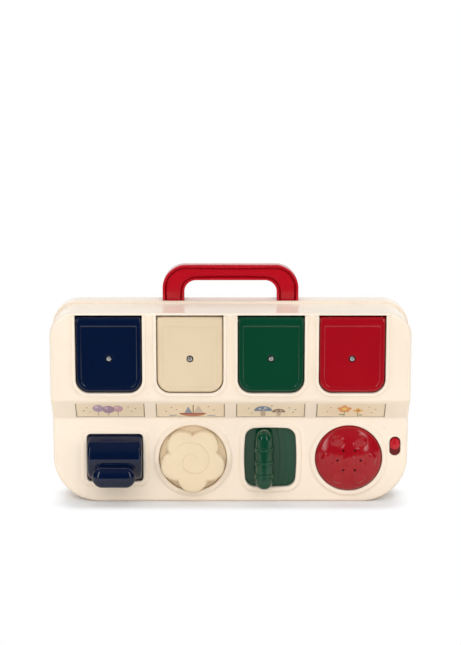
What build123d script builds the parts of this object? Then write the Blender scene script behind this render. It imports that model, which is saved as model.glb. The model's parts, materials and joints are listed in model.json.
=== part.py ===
from build123d import *
import os
from math import asin, atan2, cos, degrees, hypot, pi, radians, sin, sqrt

# Pop-up toy: a stepped carrying case with four sprung doors, each let go by the control below it.
# X runs to the right, Y to the back and Z up. The origin is under the middle of the base.

# Gaps and cuts
overrun = 2.0
running_gap = 0.3
pin_gap = 0.05
seat_gap = 0.02
level_tolerance = 0.001

# Case
body_width = 310.0
roof_z = 171.0
upper_deck_y = -47.0
lower_deck_y = -31.0
parting_y = 3.0
back_y = 31.0
riser_top_z = 95.2
riser_bottom_z = 75.5
case_wall = 2.4
roof_wall = 1.6
rear_lip = 2.2
top_corner_radius = 20.0
bottom_corner_radius = 40.0
front_edge_radius = 3.5
back_edge_radius = 8.0
riser_top_radius = 7.0
riser_bottom_radius = 3.0
rim_width = 4.2
rim_height = 0.8
half_width = body_width / 2
lip_half_width = half_width + rear_lip
lip_z = roof_z + rear_lip
riser_slope = (riser_top_z - riser_bottom_z) / (lower_deck_y - upper_deck_y)

# Case screws and the bosses that take them
case_screw_radius = 1.5
case_screw_head_radius = 3.0
case_screw_head_height = 2.0
case_screw_length = 16.0
case_boss_radius = 4.0
rear_boss_radius = 5.2
head_well_radius = 3.8
boss_floor = 3.0
case_screw_upper_z = 152.0
case_screw_middle_z = 91.0
case_screw_lower_z = 9.5
case_screw_side_inset = 9.5
case_screw_lower_share = 1.122

# Doors and wells
door_pitch_share = 0.2242
door_width_share = 0.8288
door_opening_height = 67.9
door_corner_radius = 12.0
door_gap = 0.5
door_thickness = 3.0
door_sink = 0.4
door_border = 4.2
door_panel_depth = 0.6
barrel_radius = 4.2
barrel_headroom = 1.0
hinge_pin_radius = 1.2
spring_pocket_length = 14.0
spring_pocket_radius = 3.3
door_spring_radius = 2.9
door_spring_bore = 1.5
well_side_gap = 1.2
well_depth = 35.0
well_floor_drop = 0.7
cup_wall = 1.5
cup_post_z = 132.0
cup_post_width = 2.4
cup_post_height = 24.0
door_pitch = body_width * door_pitch_share
door_opening_width = door_pitch * door_width_share
well_width = door_opening_width + 2 * well_side_gap
door_xs = [-1.5 * door_pitch, -0.5 * door_pitch, 0.5 * door_pitch, 1.5 * door_pitch]
door_colours = ["blue", "cream", "green", "red"]
door_opening_top = roof_z - roof_wall
door_opening_bottom = door_opening_top - door_opening_height
door_width = door_opening_width - 2 * door_gap
door_bottom_z = door_opening_bottom + door_gap
hinge_y = upper_deck_y + door_sink + barrel_radius
hinge_z = door_opening_top - barrel_headroom - barrel_radius
door_front_y = hinge_y - barrel_radius
door_back_y = door_front_y + door_thickness
deck_back_y = upper_deck_y + case_wall
well_floor_z = door_opening_bottom - well_floor_drop
cup_bottom_z = well_floor_z - cup_wall
cup_back_y = deck_back_y + well_depth + cup_wall

# Door screws and the catch behind each door
door_screw_drop = 31.0
door_screw_head_radius = 2.2
door_screw_head_height = 1.4
door_screw_hole_radius = 2.9
door_screw_well = 1.8
door_screw_radius = 1.3
door_screw_length = 9.0
catch_width = 8.0
catch_reach = 10.6
catch_thickness = 3.0
catch_margin = 1.5
door_screw_z = hinge_z - door_screw_drop
catch_back_y = door_back_y + catch_reach
catch_radius = hinge_z - door_opening_bottom - catch_margin
catch_z = hinge_z - sqrt(catch_radius**2 - (catch_back_y - hinge_y) ** 2)

# Figures behind the doors, heads towards the free edge
figure_body_share = 0.267
figure_head_share = 0.225
figure_body_height = 30.0
figure_sink = 5.0
figure_head_drop = 11.5
figure_body_lift = 4.0
figure_muzzle_radius = 6.0
bear_ear_radius = 5.0
rabbit_ear_radius = 3.6
rabbit_ear_length = 17.0
elephant_ear_radius_share = 0.667
elephant_ear_thickness = 4.0
elephant_trunk_radius = 3.4
elephant_trunk_length = 18.0
cat_ear_width = 10.0
cat_ear_height = 9.0
cat_ear_tip_radius = 0.8
ear_reach_share = 0.72
elephant_ear_share = 0.3
figure_kinds = ["bear", "rabbit", "elephant", "cat"]
figure_body_radius = well_width * figure_body_share
figure_head_radius = well_width * figure_head_share
elephant_ear_radius = figure_head_radius * elephant_ear_radius_share

# Mechanism plate and latches
mechanism_depth = 23.3
plate_thickness = 2.0
plate_bottom_z = 20.0
plate_top_z = 81.0
plate_side_gap = 12.0
plate_corner_radius = 10.0
latch_width = 10.0
latch_thickness = 3.0
latch_arm_thickness = 2.6
nose_setback = 5.0
nose_thickness = 2.6
guide_thickness = 2.0
guide_height = 16.0
latch_spring_radius = 2.4
latch_spring_bore = 1.7
latch_spring_length = 14.0
spring_lug_thickness = 2.5
spring_lug_drop = 7.0
spring_lug_reach = 8.4
spring_offset = 10.4
plate_screw_radius = 1.4
plate_screw_head_radius = 2.6
plate_screw_head_height = 1.8
plate_screw_length = 9.0
plate_boss_radius = 3.6
plate_screw_upper_z = 76.0
plate_screw_side_inset = 5.5
plate_screw_side_z = 30.0
plate_half_width = half_width - plate_side_gap
plate_screw_side_x = plate_half_width - plate_screw_side_inset
plate_front_y = lower_deck_y + mechanism_depth
plate_back_y = plate_front_y + plate_thickness
latch_back_y = plate_front_y - running_gap
latch_front_y = latch_back_y - latch_thickness
arm_top_z = cup_bottom_z - running_gap
arm_bottom_z = arm_top_z - latch_arm_thickness
nose_front_y = door_back_y + nose_setback
nose_back_y = nose_front_y + nose_thickness
nose_top_z = hinge_z - sqrt(catch_radius**2 - (nose_front_y - hinge_y) ** 2) - running_gap
spring_lug_z = arm_bottom_z - spring_lug_drop - spring_lug_thickness
spring_seat_z = spring_lug_z - latch_spring_length
deck_inner_y = lower_deck_y + case_wall

# Lever
lever_shift_share = 0.0482
lever_z = 40.35
lever_width_share = 0.7065
lever_opening_height = 42.9
lever_corner_radius = 3.5
lever_axis_depth = 8.0
lever_travel = 40.0
lever_side_gap = 0.8
drum_gap = 0.5
drum_skin = 2.2
drum_end_radius = 1.9
drum_margin_angle = 3.0
lever_web = 2.0
lever_hub_radius = 4.0
lever_axle_radius = 2.0
lever_lug_thickness = 3.0
lever_lug_margin = 4.0
paddle_angle = 20.0
paddle_reach = 16.0
paddle_width_share = 0.766
paddle_thickness = 17.6
paddle_neck_share = 0.672
paddle_neck_thickness = 10.0
paddle_edge_radius = 5.0
paddle_round_share = 0.48
crank_radius = 8.0
crank_pin_radius = 1.2
crank_arm_width = 4.6
crank_arm_thickness = 2.0
fork_width = 4.0
fork_prong = 2.0
lever_x = door_xs[0] + door_pitch * lever_shift_share
lever_opening_width = door_pitch * lever_width_share
paddle_width = lever_opening_width * paddle_width_share
paddle_neck_width = lever_opening_width * paddle_neck_share
lever_axis_y = lower_deck_y + lever_axis_depth
drum_radius = hypot(lever_opening_height / 2, lever_axis_depth - case_wall) - drum_gap
drum_length = lever_opening_width - 2 * lever_side_gap

# Flower knob
knob_shift_share = 0.0266
knob_z = 39.8
knob_recess_share = 0.4273
knob_recess_depth = 4.5
knob_floor = 2.0
knob_travel = 60.0
knob_lobe_share = 0.4478
knob_lobe_circle_share = 0.5118
knob_core_share = 0.6
knob_lobes = 5
knob_front_rise = 12.0
knob_foot_gap = 0.6
knob_edge_radius = 3.0
knob_blend_radius = 1.0
knob_shaft_radius = 6.0
knob_pin_circle = 5.0
knob_pin_radius = 1.4
knob_disc_radius = 9.5
knob_disc_thickness = 2.5
knob_screw_radius = 1.4
knob_screw_head_radius = 2.8
knob_screw_head_height = 1.6
knob_screw_length = 9.0
knob_spiral_turns = 1.75
knob_spiral_start = -115.0
knob_spiral_share = 0.62
knob_spiral_width = 0.8
knob_spiral_depth = 0.5
knob_spiral_steps = 28
knob_x = door_xs[1] + door_pitch * knob_shift_share
knob_recess_radius = door_pitch * knob_recess_share
knob_lobe_radius = knob_recess_radius * knob_lobe_share
knob_lobe_circle = knob_recess_radius * knob_lobe_circle_share
knob_core_radius = knob_recess_radius * knob_core_share
knob_spiral_radius = knob_recess_radius * knob_spiral_share
knob_spiral_turn = 2 * pi * knob_spiral_turns / knob_spiral_steps

# Slider
slide_x = door_xs[2]
slide_z = 40.55
slide_width_share = 0.659
slide_opening_height = 53.9
slide_corner_radius = 9.0
slide_bulge = 1.6
slide_travel_share = 0.24
slide_cam_drop = 4.6
carriage_thickness = 2.6
carriage_lap = 2.0
cam_wall = 3.0
cam_length = 10.5
cam_pin_start_share = 0.33
slide_pin_radius = 1.5
slide_pin_z = 52.0
grip_radius = 7.75
grip_length = 52.3
grip_band_radius = 8.65
grip_band_height = 4.0
grip_band_pitch = 11.5
grip_band_drop = 2.3
grip_rise = 8.0
grip_neck_width = 8.0
grip_neck_height = 38.0
slide_opening_width = door_pitch * slide_width_share
slide_travel = slide_opening_width * slide_travel_share

# Push button
button_shift_share = -0.0151
button_z = 40.0
button_radius_share = 0.4173
button_gap = 0.5
button_travel = 4.5
button_wall = 2.2
button_rise = 9.5
button_shoulder = 2.0
button_flange = 2.2
button_flange_thickness = 2.0
bump_radius = 5.2
bump_height = 1.3
bump_circle_share = 0.676
bump_lift = 2.0
bump_count = 6
sound_hole_radius = 0.9
sound_hole_circle_share = 0.348
button_spring_radius = 6.0
button_spring_bore = 4.8
button_stub_radius = 4.4
button_stub_length = 4.0
spring_seat_radius = 7.5
wedge_width = 6.0
wedge_rise = 19.0
wedge_foot_length = 7.0
wedge_foot_height = 3.0
wedge_face = 4.2
wedge_bar_height = 8.0
button_x = door_xs[3] + door_pitch * button_shift_share
button_radius = door_pitch * button_radius_share
bump_circle = button_radius * bump_circle_share
sound_hole_circle = button_radius * sound_hole_circle_share

# Power switch
switch_side_gap = 11.3
switch_z = 50.5
switch_slot_width = 9.8
switch_slot_length = 17.3
switch_knob_length = 11.9
switch_knob_gap = 0.4
switch_knob_rise = 1.2
switch_flange = 1.6
switch_flange_thickness = 1.6
switch_ridge_height = 0.9
switch_ridge_width = 1.4
switch_body_width = 9.0
switch_body_length = 33.0
switch_body_depth = 6.0
switch_post_thickness = 2.0
switch_x = half_width - switch_side_gap
switch_travel = switch_slot_length - switch_knob_length - 2 * switch_knob_gap
switch_tail = switch_travel + switch_knob_gap + switch_flange

# Handle
handle_width_share = 0.387
handle_leg_width = 19.2
handle_rise = 31.0
handle_grip_height = 13.0
handle_depth = 16.0
handle_front_y = 6.5
handle_outer_radius = 20.0
handle_inner_radius = 10.5
handle_rim = 2.4
handle_web = 4.0
handle_root_depth = 9.0
handle_foot_height = 3.0
handle_foot_flare = 3.0
handle_width = body_width * handle_width_share
handle_top_z = lip_z + handle_rise
handle_gap_width = handle_width - 2 * handle_leg_width

# Picture panels
panel_width_share = 0.852
panel_height = 18.6
panel_thickness = 0.8
panel_gap = 0.3
panel_recess = 1.0
panel_riser_place_share = 0.44
panel_width = door_pitch * panel_width_share

# Batteries and electronics
cell_radius = 7.25
cell_length = 50.5
cell_pitch = 15.0
cell_count = 3
cell_nub_radius = 2.7
cell_nub_length = 1.2
battery_x_share = -0.1226
battery_z = 42.0
battery_gap = 0.6
battery_wall = 2.4
contact_thickness = 0.5
contact_width = 9.0
battery_cover_thickness = 2.2
battery_cover_lap = 1.6
cover_screw_drop = 5.0
cover_tab_radius = 6.0
cover_screw_head_height = 1.1
board_x_share = 0.142
board_z = 46.0
board_width = 52.0
board_height = 34.0
board_thickness = 1.6
board_standoff = 12.0
board_boss_radius = 3.2
board_screw_inset = 4.5
chip_width = 14.0
chip_height = 2.2
capacitor_radius = 4.0
capacitor_height = 9.0
board_part_offset = 12.0
speaker_radius = 20.0
speaker_flange_thickness = 2.0
speaker_cone_radius = 17.0
speaker_cone_depth = 7.0
speaker_magnet_radius = 11.0
speaker_magnet_depth = 6.0
plate_sound_hole_radius = 2.0
plate_sound_hole_circle = 12.0
plate_sound_holes = 8

# Places worked out from the sizes above
case_screw_x = half_width - case_screw_side_inset
case_screw_lower_x = door_pitch * case_screw_lower_share
case_screw_points = [
    (-case_screw_x, case_screw_upper_z),
    (case_screw_x, case_screw_upper_z),
    (-case_screw_x, case_screw_middle_z),
    (case_screw_x, case_screw_middle_z),
    (-door_pitch, case_screw_middle_z),
    (door_pitch, case_screw_middle_z),
    (-case_screw_lower_x, case_screw_lower_z),
    (case_screw_lower_x, case_screw_lower_z),
]
plate_screw_points = [
    (-door_pitch, plate_screw_upper_z),
    (0, plate_screw_upper_z),
    (door_pitch, plate_screw_upper_z),
    (-plate_screw_side_x, plate_screw_side_z),
    (plate_screw_side_x, plate_screw_side_z),
]
screw_seat_y = parting_y + boss_floor
rear_inner_y = back_y - case_wall
lip_inner_z = lip_z - case_wall
lug_x_offset = drum_length / 2 + lever_side_gap + lever_lug_thickness / 2
knob_floor_y = lower_deck_y + knob_recess_depth
carriage_front_y = deck_inner_y + running_gap
carriage_back_y = carriage_front_y + carriage_thickness
carriage_half_height = slide_opening_height / 2 + carriage_lap
carriage_half_width = slide_opening_width / 2 + carriage_lap + slide_travel / 2
rail_lip_y = carriage_back_y + running_gap
rail_thickness = guide_thickness
button_bore_radius = button_radius + button_gap
switch_front_y = deck_inner_y + switch_flange_thickness + 2 * running_gap
switch_back_y = switch_front_y + switch_body_depth
leg_x = (handle_width + handle_gap_width) / 4
handle_y = handle_front_y + handle_depth / 2
battery_x = body_width * battery_x_share
battery_inner_width = cell_length + cell_nub_length + 2 * (contact_thickness + battery_gap)
battery_inner_height = cell_count * cell_pitch + battery_gap
battery_floor_y = back_y - battery_cover_thickness - battery_gap - 2 * cell_radius - battery_gap
cover_screw_z = battery_z + battery_inner_height / 2 + cover_screw_drop
board_x = body_width * board_x_share
board_back_y = rear_inner_y - board_standoff
board_screw_x = board_width / 2 - board_screw_inset
board_screw_z = board_height / 2 - board_screw_inset
riser_angle = degrees(atan2(riser_top_z - riser_bottom_z, lower_deck_y - upper_deck_y))
panel_z = riser_bottom_z + panel_riser_place_share * (riser_top_z - riser_bottom_z)
panel_y = lower_deck_y - (panel_z - riser_bottom_z) / riser_slope


def facing(y):
    """Plane across the case at depth y, facing the front: local x is X and local y is Z."""
    return Plane.XZ.offset(-y)


def across(x):
    """Plane across the width at x: local x is Y and local y is Z."""
    return Plane.YZ.offset(x)


def riser_plane(x):
    """Plane on the sloped riser at x, facing out: local x is X and local y runs up the slope."""
    slope = radians(riser_angle)
    return Plane(origin=(x, panel_y, panel_z), x_dir=(1, 0, 0), z_dir=(0, -sin(slope), -cos(slope)))


def riser_height(y, wall):
    """Height of the sloped riser at depth y, moved inwards by wall."""
    return riser_top_z - riser_slope * (y - upper_deck_y) + wall * hypot(1, riser_slope)


def case_outline(half, top, wall, corner_growth):
    """Case outline seen from the front, moved inwards by wall."""
    with Locations((0, (wall + top) / 2)):
        Rectangle(2 * half, top - wall)
    fillet(vertices().group_by(Axis.Y)[0], bottom_corner_radius + corner_growth - wall)
    fillet(vertices().group_by(Axis.Y)[-1], top_corner_radius + corner_growth - wall)


def stepped_form(wall, roof):
    """Stepped front body with its walls moved inwards by wall and its roof by roof."""
    with BuildPart() as form:
        with BuildSketch(facing(parting_y)):
            case_outline(half_width - wall, roof_z - roof, wall, 0)
        extrude(amount=parting_y - upper_deck_y - wall)
        front = upper_deck_y - overrun
        crest = upper_deck_y + wall
        foot = lower_deck_y + wall
        with BuildSketch(across(-half_width - overrun)):
            with BuildLine():
                Polyline(
                    (front, riser_height(crest, wall)),
                    (crest, riser_height(crest, wall)),
                    (foot, riser_height(foot, wall)),
                    (foot, -overrun),
                    (front, -overrun),
                    close=True,
                )
            make_face()
        extrude(amount=body_width + 2 * overrun, mode=Mode.SUBTRACT)
    return form.part


def edge_near(part, y, z):
    """The edge along X that lies nearest to depth y and height z."""
    along = part.edges().filter_by(Axis.X)
    return along.sort_by(lambda edge: hypot(edge.center().Y - y, edge.center().Z - z))[0]


def door_outline(x, grow):
    """Door opening at x with square top corners, grown by grow at its sides and bottom."""
    half = door_opening_width / 2 + grow
    bottom = door_opening_bottom - grow
    radius = door_corner_radius + grow
    with BuildSketch() as outline:
        with Locations((x, (door_opening_top + bottom) / 2)):
            Rectangle(2 * half, door_opening_top - bottom)
        fillet(vertices().group_by(Axis.Y)[0], radius)
    add(outline.sketch)


def slide_outline(grow):
    """Barrel-sided opening of the slider, grown outwards by grow."""
    half = slide_opening_width / 2 + grow
    tall = slide_opening_height / 2 + grow
    corner = half - slide_bulge
    shoulder = tall - slide_bulge / 2
    with BuildSketch() as outline:
        with BuildLine():
            ThreePointArc((-corner, -shoulder), (-half, 0), (-corner, shoulder))
            ThreePointArc((-corner, shoulder), (0, tall), (corner, shoulder))
            ThreePointArc((corner, shoulder), (half, 0), (corner, -shoulder))
            ThreePointArc((corner, -shoulder), (0, -tall), (-corner, -shoulder))
        make_face()
        fillet(vertices(), slide_corner_radius + grow)
    with Locations((slide_x, slide_z)):
        add(outline.sketch)


def lever_outline(grow):
    """Lever opening grown outwards by grow."""
    with Locations((lever_x, lever_z)):
        RectangleRounded(
            lever_opening_width + 2 * grow, lever_opening_height + 2 * grow, lever_corner_radius + grow
        )


def ring_outline(x, z, radius):
    """Round opening of a control."""
    with Locations((x, z)):
        Circle(radius)


def switch_outline(grow):
    """Upright oval slot of the power switch, grown outwards by grow."""
    with Locations((switch_x, switch_z)):
        SlotOverall(switch_slot_length + 2 * grow, switch_slot_width + 2 * grow, rotation=90)


def cover_outline(grow):
    """Battery cover with its screw tab, grown outwards by grow."""
    with Locations((battery_x, battery_z)):
        Rectangle(
            battery_inner_width + 2 * (battery_cover_lap + grow),
            battery_inner_height + 2 * (battery_cover_lap + grow),
        )
    with Locations((battery_x, cover_screw_z)):
        Circle(cover_tab_radius + grow)


def handle_outline(rim, bottom):
    """U outline of the handle down to bottom, with its edges moved inwards by rim."""
    grip_top = handle_top_z - rim
    grip_bottom = handle_top_z - handle_grip_height + rim
    with BuildSketch() as gap:
        with Locations((0, (grip_bottom + bottom - overrun) / 2)):
            Rectangle(handle_gap_width + 2 * rim, grip_bottom - bottom + overrun)
        fillet(vertices().group_by(Axis.Y)[-1], handle_inner_radius + rim)
    with BuildSketch() as outline:
        with Locations((0, (grip_top + bottom) / 2)):
            Rectangle(handle_width - 2 * rim, grip_top - bottom)
        fillet(vertices().group_by(Axis.Y)[-1], handle_outer_radius - rim)
        add(gap.sketch, mode=Mode.SUBTRACT)
    add(outline.sketch)


def block(low, high, mode=Mode.ADD):
    """Box between two opposite corners."""
    with Locations(tuple((a + b) / 2 for a, b in zip(low, high))):
        Box(*[b - a for a, b in zip(low, high)], mode=mode)


def bar(x, z, radius, front, back, mode=Mode.ADD):
    """Round bar along Y between two depths."""
    with Locations(Location((x, (front + back) / 2, z), (90, 0, 0))):
        Cylinder(radius, back - front, mode=mode)


def spheroid(x, y, z, radius, height):
    """Egg-shaped solid with its long axis upright."""
    with BuildPart() as egg:
        with BuildSketch(Plane.XZ):
            Ellipse(radius, height / 2)
            with Locations((-radius, 0)):
                Rectangle(2 * radius, height, mode=Mode.SUBTRACT)
        revolve(axis=Axis.Z)
    add(egg.part.moved(Location((x, y, z))))


def make_screws(points, seat_y, shank, head_radius, head_height, radius):
    """Pan-head screws along Y: shank runs from seat_y, its sign giving the way it points."""
    way = 1 if shank > 0 else -1
    with BuildPart() as screws:
        for x, z in points:
            ends = sorted((seat_y, seat_y - way * head_height))
            bar(x, z, head_radius, ends[0], ends[1])
            ends = sorted((seat_y, seat_y + shank))
            bar(x, z, radius, ends[0], ends[1])
    return screws.part


# Front shell: outer form, rounded edges and hollow
front_cavity = stepped_form(case_wall, roof_wall)
with BuildPart() as front_shell:
    add(stepped_form(0, 0))
    fillet(edge_near(front_shell.part, upper_deck_y, riser_top_z), riser_top_radius)
    fillet(edge_near(front_shell.part, lower_deck_y, riser_bottom_z), riser_bottom_radius)
    side_faces = faces().filter_by(lambda face: abs(face.normal_at().Y) < level_tolerance)
    side_edges = ShapeList([edge for face in side_faces for edge in face.edges()])
    rim_edges = side_edges.filter_by(Axis.Y, reverse=True)
    fillet(rim_edges.filter_by(lambda edge: edge.center().Y < parting_y - overrun), front_edge_radius)
    add(front_cavity, mode=Mode.SUBTRACT)

# Front shell: bosses, knob cup, lever lugs and slider rails behind the decks
with BuildPart() as front_posts:
    with BuildSketch(facing(parting_y)):
        with Locations(*case_screw_points):
            Circle(case_boss_radius)
    extrude(amount=parting_y - upper_deck_y)
    with BuildSketch(facing(plate_front_y)):
        with Locations(*plate_screw_points):
            Circle(plate_boss_radius)
    extrude(amount=plate_front_y - upper_deck_y)
    with BuildSketch(facing(knob_floor_y + knob_floor)):
        ring_outline(knob_x, knob_z, knob_recess_radius + knob_floor)
    extrude(amount=knob_floor_y + knob_floor - lower_deck_y)
    for side in (-1, 1):
        lug_x = lever_x + side * lug_x_offset
        block(
            (lug_x - lever_lug_thickness / 2, deck_inner_y, lever_z - lever_lug_margin),
            (lug_x + lever_lug_thickness / 2, lever_axis_y + lever_lug_margin, lever_z + lever_lug_margin),
        )
        rail_z = slide_z + side * (carriage_half_height + running_gap)
        with BuildSketch(across(slide_x - carriage_half_width - slide_travel / 2)):
            with BuildLine():
                Polyline(
                    (deck_inner_y, rail_z),
                    (rail_lip_y, rail_z),
                    (rail_lip_y, rail_z - side * rail_thickness),
                    (rail_lip_y + rail_thickness, rail_z - side * rail_thickness),
                    (rail_lip_y + rail_thickness, rail_z + side * rail_thickness),
                    (deck_inner_y, rail_z + side * rail_thickness),
                    close=True,
                )
            make_face()
        extrude(amount=2 * carriage_half_width + slide_travel)
        post_z = switch_z + side * (switch_body_length + switch_post_thickness) / 2
        block(
            (switch_x - switch_body_width / 2, deck_inner_y, post_z - switch_post_thickness / 2),
            (switch_x + switch_body_width / 2, switch_back_y, post_z + switch_post_thickness / 2),
        )
    add(front_cavity, mode=Mode.INTERSECT)

with BuildPart() as front_shell_finished:
    add(front_shell.part)
    add(front_posts.part)
    # Raised rims round the doors and the controls
    for x in door_xs:
        with BuildSketch(facing(upper_deck_y + rim_height)):
            door_outline(x, rim_width)
        extrude(amount=2 * rim_height)
    with BuildSketch(facing(lower_deck_y + rim_height)):
        lever_outline(rim_width)
        ring_outline(knob_x, knob_z, knob_recess_radius + rim_width)
        ring_outline(button_x, button_z, button_bore_radius + rim_width)
    extrude(amount=2 * rim_height)
    with BuildSketch(facing(lower_deck_y + rim_height)):
        slide_outline(rim_width)
    extrude(amount=2 * rim_height)
    # Openings
    for x in door_xs:
        with BuildSketch(facing(deck_back_y + overrun)):
            door_outline(x, 0)
        extrude(amount=case_wall + 2 * overrun, mode=Mode.SUBTRACT)
    with BuildSketch(facing(deck_inner_y + running_gap)):
        lever_outline(0)
        ring_outline(button_x, button_z, button_bore_radius)
        switch_outline(0)
    extrude(amount=case_wall + 2 * overrun, mode=Mode.SUBTRACT)
    with BuildSketch(facing(deck_inner_y)):
        slide_outline(0)
    extrude(amount=case_wall + overrun, mode=Mode.SUBTRACT)
    with BuildSketch(facing(knob_floor_y)):
        ring_outline(knob_x, knob_z, knob_recess_radius)
    extrude(amount=knob_recess_depth + overrun, mode=Mode.SUBTRACT)
    with BuildSketch(facing(knob_floor_y + knob_floor + overrun)):
        ring_outline(knob_x, knob_z, knob_shaft_radius + pin_gap)
    extrude(amount=knob_floor + 2 * overrun, mode=Mode.SUBTRACT)
    # Screw pilots, lever axle bores and picture recesses
    with BuildSketch(facing(parting_y)):
        with Locations(*case_screw_points):
            Circle(case_screw_radius + seat_gap)
    extrude(amount=case_screw_length, mode=Mode.SUBTRACT)
    with BuildSketch(facing(plate_front_y)):
        with Locations(*plate_screw_points):
            Circle(plate_screw_radius + seat_gap)
    extrude(amount=plate_screw_length, mode=Mode.SUBTRACT)
    with Locations(Location((lever_x, lever_axis_y, lever_z), (0, 90, 0))):
        Cylinder(
            lever_axle_radius + seat_gap, 2 * (lug_x_offset + lever_lug_thickness), mode=Mode.SUBTRACT
        )
    for x in door_xs:
        with BuildSketch(riser_plane(x).offset(-panel_recess)):
            Rectangle(panel_width + 2 * panel_gap, panel_height + 2 * panel_gap)
        extrude(amount=panel_recess + overrun, mode=Mode.SUBTRACT)

# Rear shell: hollow back with the battery box, bosses and posts
with BuildPart() as rear_shell:
    with BuildSketch(facing(back_y)):
        case_outline(lip_half_width, lip_z, 0, rear_lip)
    extrude(amount=back_y - parting_y)
    fillet(faces().sort_by(Axis.Y)[-1].edges(), back_edge_radius)
    with BuildSketch(facing(rear_inner_y)):
        case_outline(lip_half_width - case_wall, lip_inner_z, case_wall, rear_lip)
    extrude(amount=rear_inner_y - parting_y, mode=Mode.SUBTRACT)
    # Screw bosses, cup posts, board bosses and the battery box
    with BuildSketch(facing(rear_inner_y)):
        with Locations(*case_screw_points):
            Circle(rear_boss_radius)
    extrude(amount=rear_inner_y - parting_y)
    with BuildSketch(facing(rear_inner_y)):
        with Locations(*[(x, cup_post_z) for x in door_xs]):
            Rectangle(cup_post_width, cup_post_height)
    extrude(amount=rear_inner_y - cup_back_y)
    with BuildSketch(facing(rear_inner_y)):
        with Locations((board_x, board_z)):
            with GridLocations(2 * board_screw_x, 2 * board_screw_z, 2, 2):
                Circle(board_boss_radius)
    extrude(amount=board_standoff)
    with BuildSketch(facing(rear_inner_y)):
        with Locations((battery_x, battery_z)):
            Rectangle(battery_inner_width + 2 * battery_wall, battery_inner_height + 2 * battery_wall)
        with Locations((battery_x, cover_screw_z)):
            Circle(cover_tab_radius + battery_wall)
    extrude(amount=rear_inner_y - battery_floor_y + battery_wall)
    # Battery pocket, cover seat and screw holes, cut from the back
    with BuildSketch(facing(battery_floor_y)):
        with Locations((battery_x, battery_z)):
            Rectangle(battery_inner_width, battery_inner_height)
    extrude(amount=battery_floor_y - back_y - overrun, mode=Mode.SUBTRACT)
    with BuildSketch(facing(back_y - battery_cover_thickness - seat_gap)):
        cover_outline(running_gap)
    extrude(amount=-battery_cover_thickness - overrun, mode=Mode.SUBTRACT)
    with BuildSketch(facing(back_y)):
        with Locations((battery_x, cover_screw_z)):
            Circle(plate_screw_radius + seat_gap)
    extrude(amount=battery_cover_thickness + plate_screw_length, mode=Mode.SUBTRACT)
    with BuildSketch(facing(screw_seat_y)):
        with Locations(*case_screw_points):
            Circle(head_well_radius)
    extrude(amount=screw_seat_y - back_y - overrun, mode=Mode.SUBTRACT)
    with BuildSketch(facing(screw_seat_y)):
        with Locations(*case_screw_points):
            Circle(case_screw_radius + running_gap)
    extrude(amount=boss_floor + overrun, mode=Mode.SUBTRACT)
    with BuildSketch(facing(board_back_y)):
        with Locations((board_x, board_z)):
            with GridLocations(2 * board_screw_x, 2 * board_screw_z, 2, 2):
                Circle(plate_screw_radius + seat_gap)
    extrude(amount=-plate_screw_length, mode=Mode.SUBTRACT)
    # Slots for the handle's legs
    for side in (-1, 1):
        with Locations((side * leg_x, handle_y, lip_z)):
            Box(
                handle_leg_width + 2 * seat_gap,
                handle_depth + 2 * seat_gap,
                2 * (case_wall + overrun),
                mode=Mode.SUBTRACT,
            )

# Handle: one U with a recessed web on both faces and snap feet below the roof
handle_root_z = lip_inner_z - handle_root_depth
with BuildPart() as handle:
    with BuildSketch(facing(handle_front_y + handle_depth)):
        handle_outline(0, handle_root_z)
    extrude(amount=handle_depth)
    recess_depth = (handle_depth - handle_web) / 2
    for plane, direction in ((facing(handle_front_y), -1), (facing(handle_front_y + handle_depth), 1)):
        with BuildSketch(plane):
            handle_outline(handle_rim, lip_z)
        extrude(amount=direction * recess_depth, mode=Mode.SUBTRACT)
    for side in (-1, 1):
        with Locations((side * leg_x, handle_y, lip_inner_z - handle_foot_height / 2 - seat_gap)):
            Box(handle_leg_width + 2 * handle_foot_flare, handle_web, handle_foot_height)


def make_well_cup(x):
    """Open well behind a door, with bores for the hinge pin and a slot for the latch's nose."""
    half = well_width / 2
    top_z = door_opening_top - running_gap
    with BuildPart() as cup:
        block((x - half - cup_wall, deck_back_y, cup_bottom_z), (x + half + cup_wall, cup_back_y, top_z))
        block(
            (x - half, deck_back_y - overrun, well_floor_z),
            (x + half, cup_back_y - cup_wall, top_z + overrun),
            Mode.SUBTRACT,
        )
        with Locations(Location((x, hinge_y, hinge_z), (0, 90, 0))):
            Cylinder(hinge_pin_radius + seat_gap, well_width + 2 * cup_wall + overrun, mode=Mode.SUBTRACT)
        block(
            (x - latch_width / 2 - running_gap, nose_front_y - running_gap, cup_bottom_z - overrun),
            (x + latch_width / 2 + running_gap, nose_back_y + running_gap, well_floor_z + overrun),
            Mode.SUBTRACT,
        )
    return cup.part


# Hinge pins and door springs, one of each per door
with BuildPart() as hinge_pins:
    for x in door_xs:
        with Locations(Location((x, hinge_y, hinge_z), (0, 90, 0))):
            Cylinder(hinge_pin_radius, well_width + 2 * cup_wall)

with BuildPart() as door_springs:
    for x in door_xs:
        with Locations(Location((x, hinge_y, hinge_z), (0, 90, 0))):
            Cylinder(door_spring_radius, spring_pocket_length - 2 * running_gap)
            Cylinder(door_spring_bore, spring_pocket_length, mode=Mode.SUBTRACT)


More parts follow.
